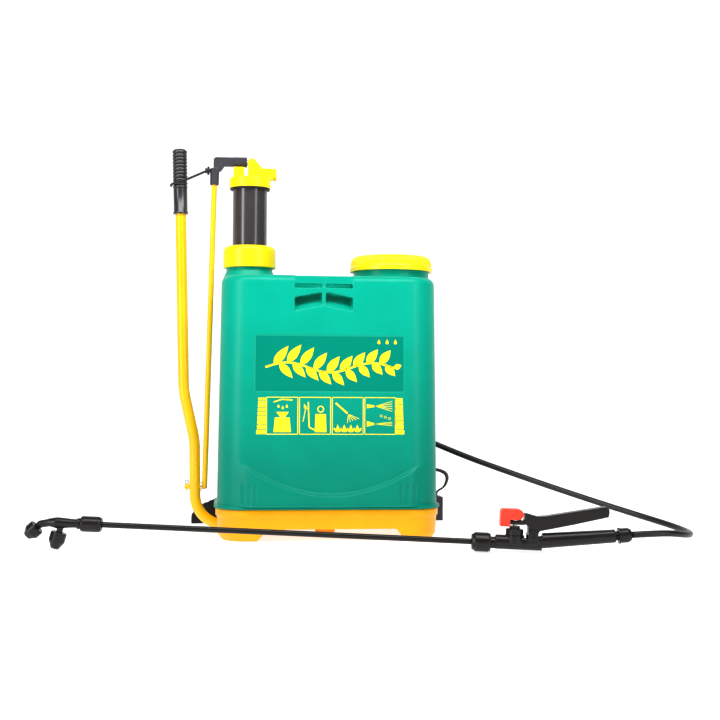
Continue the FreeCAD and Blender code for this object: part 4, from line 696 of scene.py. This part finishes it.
turned_skin("hose_hand_nut", "gun_hose_nut", hose_nut_from, hose_nut_from + handle_along * 0.0174,
            hose_profile, gun_black, flutes=14, depth=0.0010, fluted=(0.0042, 0.0128))
moulded("spray_gun", "gun_body", 0.0007, 3, gun_black)
moulded("spray_trigger", "trigger", 0.0007, 3, gun_black)
moulded("red_lock", "trigger_lock", 0.0005, 3, lock_red)
dress(gun_black, "valve_cap", "lance_pipe", "trigger_pin")
moulded("twin_nozzle_arm", "nozzle_body", 0.0006, 6, gun_black)
moulded("spray_cap_a", "nozzle_cap_a", 0.0005, 3, gun_black)
moulded("spray_cap_b", "nozzle_cap_b", 0.0005, 3, gun_black)
dress(natural_white, "grip_filter", "spray_disc_a", "spray_disc_b")
dress(black_rubber, "lance_seal", "valve_seal")
dress(bright_steel, "valve_stem", "valve_spring")


# ======== Straps ========
# Two padded nylon straps hang from a steel bar on the wearer's side, each with a bound edge and a row of
# webbing sewn down its middle. Woven webbing goes on through ladder buckles to slots in the base.
def woven_finish(name, colour, pitch):
    """A shader for woven nylon: crossing ribs in relief."""
    material = moulded_finish(name, colour, 0.75, mottle=0.15, grain=1400.0, relief=0.2,
                              Specular_IOR_Level=0.2)
    tree = material.node_tree
    shader = tree.nodes["Principled BSDF"]
    place = tree.nodes["Texture Coordinate"]
    weave = tree.nodes.new("ShaderNodeMath")
    weave.operation = "MAXIMUM"
    for k, direction in enumerate(("X", "Z")):
        ribs = tree.nodes.new("ShaderNodeTexWave")
        ribs.bands_direction = direction
        ribs.inputs["Scale"].default_value = math.tau / 20 / pitch
        tree.links.new(place.outputs["Object"], ribs.inputs["Vector"])
        tree.links.new(ribs.outputs["Fac"], weave.inputs[k])
    bump = tree.nodes.new("ShaderNodeBump")
    bump.inputs["Strength"].default_value = 0.6
    bump.inputs["Distance"].default_value = 0.0003
    tree.links.new(weave.outputs["Value"], bump.inputs["Height"])
    tree.links.new(bump.outputs["Normal"], shader.inputs["Normal"])
    return material


pad_nylon = woven_finish("pad_nylon", (0.014, 0.014, 0.015), 0.0011)
webbing_nylon = woven_finish("webbing_nylon", (0.020, 0.020, 0.022), 0.0016)
thread = moulded_finish("thread", (0.07, 0.07, 0.075), 0.6, relief=0.1)
PAD_HALF_WIDTH = 0.0235
PAD_MIDDLE_Y = 0.099
PAD_START_HALF = 0.0022
SWELL_CAP = 0.0035


def band_outline(line, half):
    """The outline of a band with that half width along points in X and Z."""
    left, right = [], []
    for i, point in enumerate(line):
        ahead, behind = Vector(line[min(i + 1, len(line) - 1)]), Vector(line[max(i - 1, 0)])
        way = (ahead - behind).normalized()
        across = Vector((-way.y, way.x)) * half
        left.append(tuple(Vector(point) + across))
        right.append(tuple(Vector(point) - across))
    return left + right[::-1]


def bent(line, steps=6):
    """A smooth line through the middles of a route's runs."""
    marks = [Vector(line[0])]
    for a, b, c in zip(line, line[1:], line[2:]):
        a, b, c = Vector(a), Vector(b), Vector(c)
        start, finish = (a + b) / 2, (b + c) / 2
        for k in range(steps + 1):
            t = k / steps
            marks.append(start * (1 - t) ** 2 + b * 2 * t * (1 - t) + finish * t ** 2)
    marks.append(Vector(line[-1]))
    return [tuple(m) for m in marks]


def quilted(name, outline):
    """A pad from its outline in X and Z, blown up by a cloth simulation and kept."""
    shape = bmesh.new()
    near = [shape.verts.new((x, PAD_MIDDLE_Y - PAD_START_HALF, z)) for x, z in outline]
    far = [shape.verts.new((x, PAD_MIDDLE_Y + PAD_START_HALF, z)) for x, z in outline]
    shape.faces.new(near)
    shape.faces.new(far[::-1])
    for k in range(len(near)):
        nxt = (k + 1) % len(near)
        shape.faces.new((near[k], far[k], far[nxt], near[nxt]))
    bmesh.ops.recalc_face_normals(shape, faces=shape.faces)
    mesh = bpy.data.meshes.new(name)
    shape.to_mesh(mesh)
    shape.free()
    pad = mesh_object(name, mesh)
    remesh = pad.modifiers.new("remesh", "REMESH")
    remesh.mode = "VOXEL"
    remesh.voxel_size = 0.004
    even = pad.modifiers.new("even", "SMOOTH")
    even.factor = 0.5
    even.iterations = 6
    bpy.context.view_layer.update()
    pad.data = bpy.data.meshes.new_from_object(pad.evaluated_get(bpy.context.evaluated_depsgraph_get()))
    pad.modifiers.clear()
    before = [vertex.co.copy() for vertex in pad.data.vertices]
    cloth = pad.modifiers.new("cloth", "CLOTH")
    cloth.settings.use_pressure = True
    cloth.settings.uniform_pressure_force = 4.0
    cloth.settings.effector_weights.gravity = 0.0
    cloth.point_cache.frame_start = 1
    cloth.point_cache.frame_end = 20
    for moment in range(1, 21):
        bpy.context.scene.frame_set(moment)
    swollen = bpy.data.meshes.new_from_object(pad.evaluated_get(bpy.context.evaluated_depsgraph_get()))
    bpy.context.scene.frame_set(1)
    pad.modifiers.clear()
    pad.data = swollen
    for vertex, rest in zip(pad.data.vertices, before):
        shift = vertex.co - rest
        if shift.length > SWELL_CAP:
            vertex.co = rest + shift.normalized() * SWELL_CAP
    for face in pad.data.polygons:
        face.use_smooth = True
    pad.data.materials.clear()
    pad.data.materials.append(pad_nylon)
    finer = pad.modifiers.new("finer", "SUBSURF")
    finer.levels = finer.render_levels = 1
    bpy.context.view_layer.update()
    pad.data = bpy.data.meshes.new_from_object(pad.evaluated_get(bpy.context.evaluated_depsgraph_get()))
    pad.modifiers.clear()
    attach(pad, "sprayer")
    return pad


def strip(name, line, width_way, half_width, half_thick, material):
    """A flat woven band along points in space, with a round bead at each edge."""
    across = Vector(width_way).normalized()
    section = [(-1.0, -0.6), (-0.9, -1.2), (-0.8, -0.9), (0.8, -0.9), (0.9, -1.2), (1.0, -0.6),
               (1.0, 0.6), (0.9, 1.2), (0.8, 0.9), (-0.8, 0.9), (-0.9, 1.2), (-1.0, 0.6)]
    shape = bmesh.new()
    rings = []
    for i, point in enumerate(line):
        ahead, behind = Vector(line[min(i + 1, len(line) - 1)]), Vector(line[max(i - 1, 0)])
        out = (ahead - behind).normalized().cross(across).normalized()
        rings.append([shape.verts.new(Vector(point) + across * half_width * u + out * half_thick * v)
                      for u, v in section])
    for low, high in zip(rings, rings[1:]):
        for k in range(len(section)):
            shape.faces.new((low[k], low[(k + 1) % len(section)], high[(k + 1) % len(section)], high[k]))
    shape.faces.new(rings[0][::-1])
    shape.faces.new(rings[-1])
    bmesh.ops.recalc_face_normals(shape, faces=shape.faces)
    mesh = bpy.data.meshes.new(name)
    shape.to_mesh(mesh)
    shape.free()
    mesh.materials.append(material)
    piece = mesh_object(name, mesh)
    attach(piece, "sprayer")
    return piece


def stitched(name, line, half_width, y):
    """Two rows of thread along a band that lies in X and Z, one at each edge."""
    shape = bmesh.new()
    for share in (-1, 1):
        row = band_outline(line, half_width)
        row = row[:len(line)] if share < 0 else row[len(line):]
        for a, b in zip(row, row[1:]):
            a, b = Vector(a), Vector(b)
            count = max(1, int((b - a).length / 0.004))
            for k in range(count):
                p, q = a.lerp(b, (k + 0.15) / count), a.lerp(b, (k + 0.75) / count)
                out = Vector((-(q - p).y, (q - p).x)).normalized() * 0.0004
                corners = [p + out, q + out, q - out, p - out]
                shape.faces.new([shape.verts.new((c.x, y, c.y)) for c in corners])
    mesh = bpy.data.meshes.new(name)
    shape.to_mesh(mesh)
    shape.free()
    mesh.materials.append(thread)
    piece = mesh_object(name, mesh)
    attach(piece, "sprayer")
    return piece


left_line = bent([(-0.030, 0.340), (-0.046, 0.285), (-0.096, 0.180), (-0.126, 0.083)])
right_line = bent([(0.030, 0.340), (0.046, 0.285), (0.094, 0.190), (0.126, 0.113)])
left_pad = quilted("left_shoulder_pad", band_outline(left_line, PAD_HALF_WIDTH))
right_pad = quilted("right_shoulder_pad", band_outline(right_line, PAD_HALF_WIDTH))
tongue = quilted("left_pad_tongue", [(-0.104, 0.082), (-0.150, 0.057), (-0.184, 0.0405), (-0.1975, 0.033),
                                     (-0.2035, 0.025), (-0.2055, 0.012), (-0.2050, 0.003), (-0.114, 0.003)])
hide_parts("left_strap_pad")
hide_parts("right_strap_pad")
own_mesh(tongue)
SPINE_REACH, SPINE_HALF_WIDTH = 0.0066, 0.010
WEBBING_HALF_WIDTH = 0.0128
for label, line in (("left", left_line), ("right", right_line)):
    for face_name, outward in (("back", 1), ("front", -1)):
        y = PAD_MIDDLE_Y + outward * SPINE_REACH
        spine = [(x, y, z) for x, z in line]
        lean = -0.35 if label == "left" else 0.35
        strip(label + "_spine_" + face_name, spine, (1, 0, lean), SPINE_HALF_WIDTH, 0.0007, webbing_nylon)
        stitched(label + "_stitches_" + face_name, line, 0.0082, y + outward * 0.00085)
loop_route = bent([(0.118, 0.124), (0.140, 0.096), (0.184, 0.091), (0.207, 0.083), (0.203, 0.062),
                   (0.187, 0.054), (0.187, 0.044)])
loop_line = [Vector((x, PAD_MIDDLE_Y, z)) for x, z in loop_route]
right_webbing = strip("right_webbing_loop", loop_line, (0.3, 1, 0), WEBBING_HALF_WIDTH, 0.0012, webbing_nylon)
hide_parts("right_webbing")
BAR_HEIGHT, BAR_REACH, LOOP_RADIUS = 0.352, 0.099, 0.0043
for label, x in (("left", -0.031), ("right", 0.031)):
    hanger = [Vector((x, PAD_MIDDLE_Y - 0.0015, 0.330)), Vector((x, PAD_MIDDLE_Y - 0.0026, 0.340))]
    for k in range(15):
        turn = math.radians(220 - 260 * k / 14)
        hanger.append(Vector((x, BAR_REACH + LOOP_RADIUS * math.cos(turn),
                              BAR_HEIGHT + LOOP_RADIUS * math.sin(turn))))
    hanger += [Vector((x, PAD_MIDDLE_Y + 0.0026, 0.340)), Vector((x, PAD_MIDDLE_Y + 0.0015, 0.330))]
    strip(label + "_bar_loop", hanger, (1, 0, 0), WEBBING_HALF_WIDTH, 0.0007, webbing_nylon)
left_webbing_line = [(-0.138, 0.1095 + 0.0008 * math.sin(k / 2), 0.005 + 0.0055 * k) for k in range(11)]
left_webbing = strip("left_webbing_tail", left_webbing_line, (1, 0, 0), WEBBING_HALF_WIDTH, 0.0008,
                     webbing_nylon)
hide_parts("left_webbing")
moulded("ladder_buckles", "strap_buckles", 0.0007, 3, moulded_black)
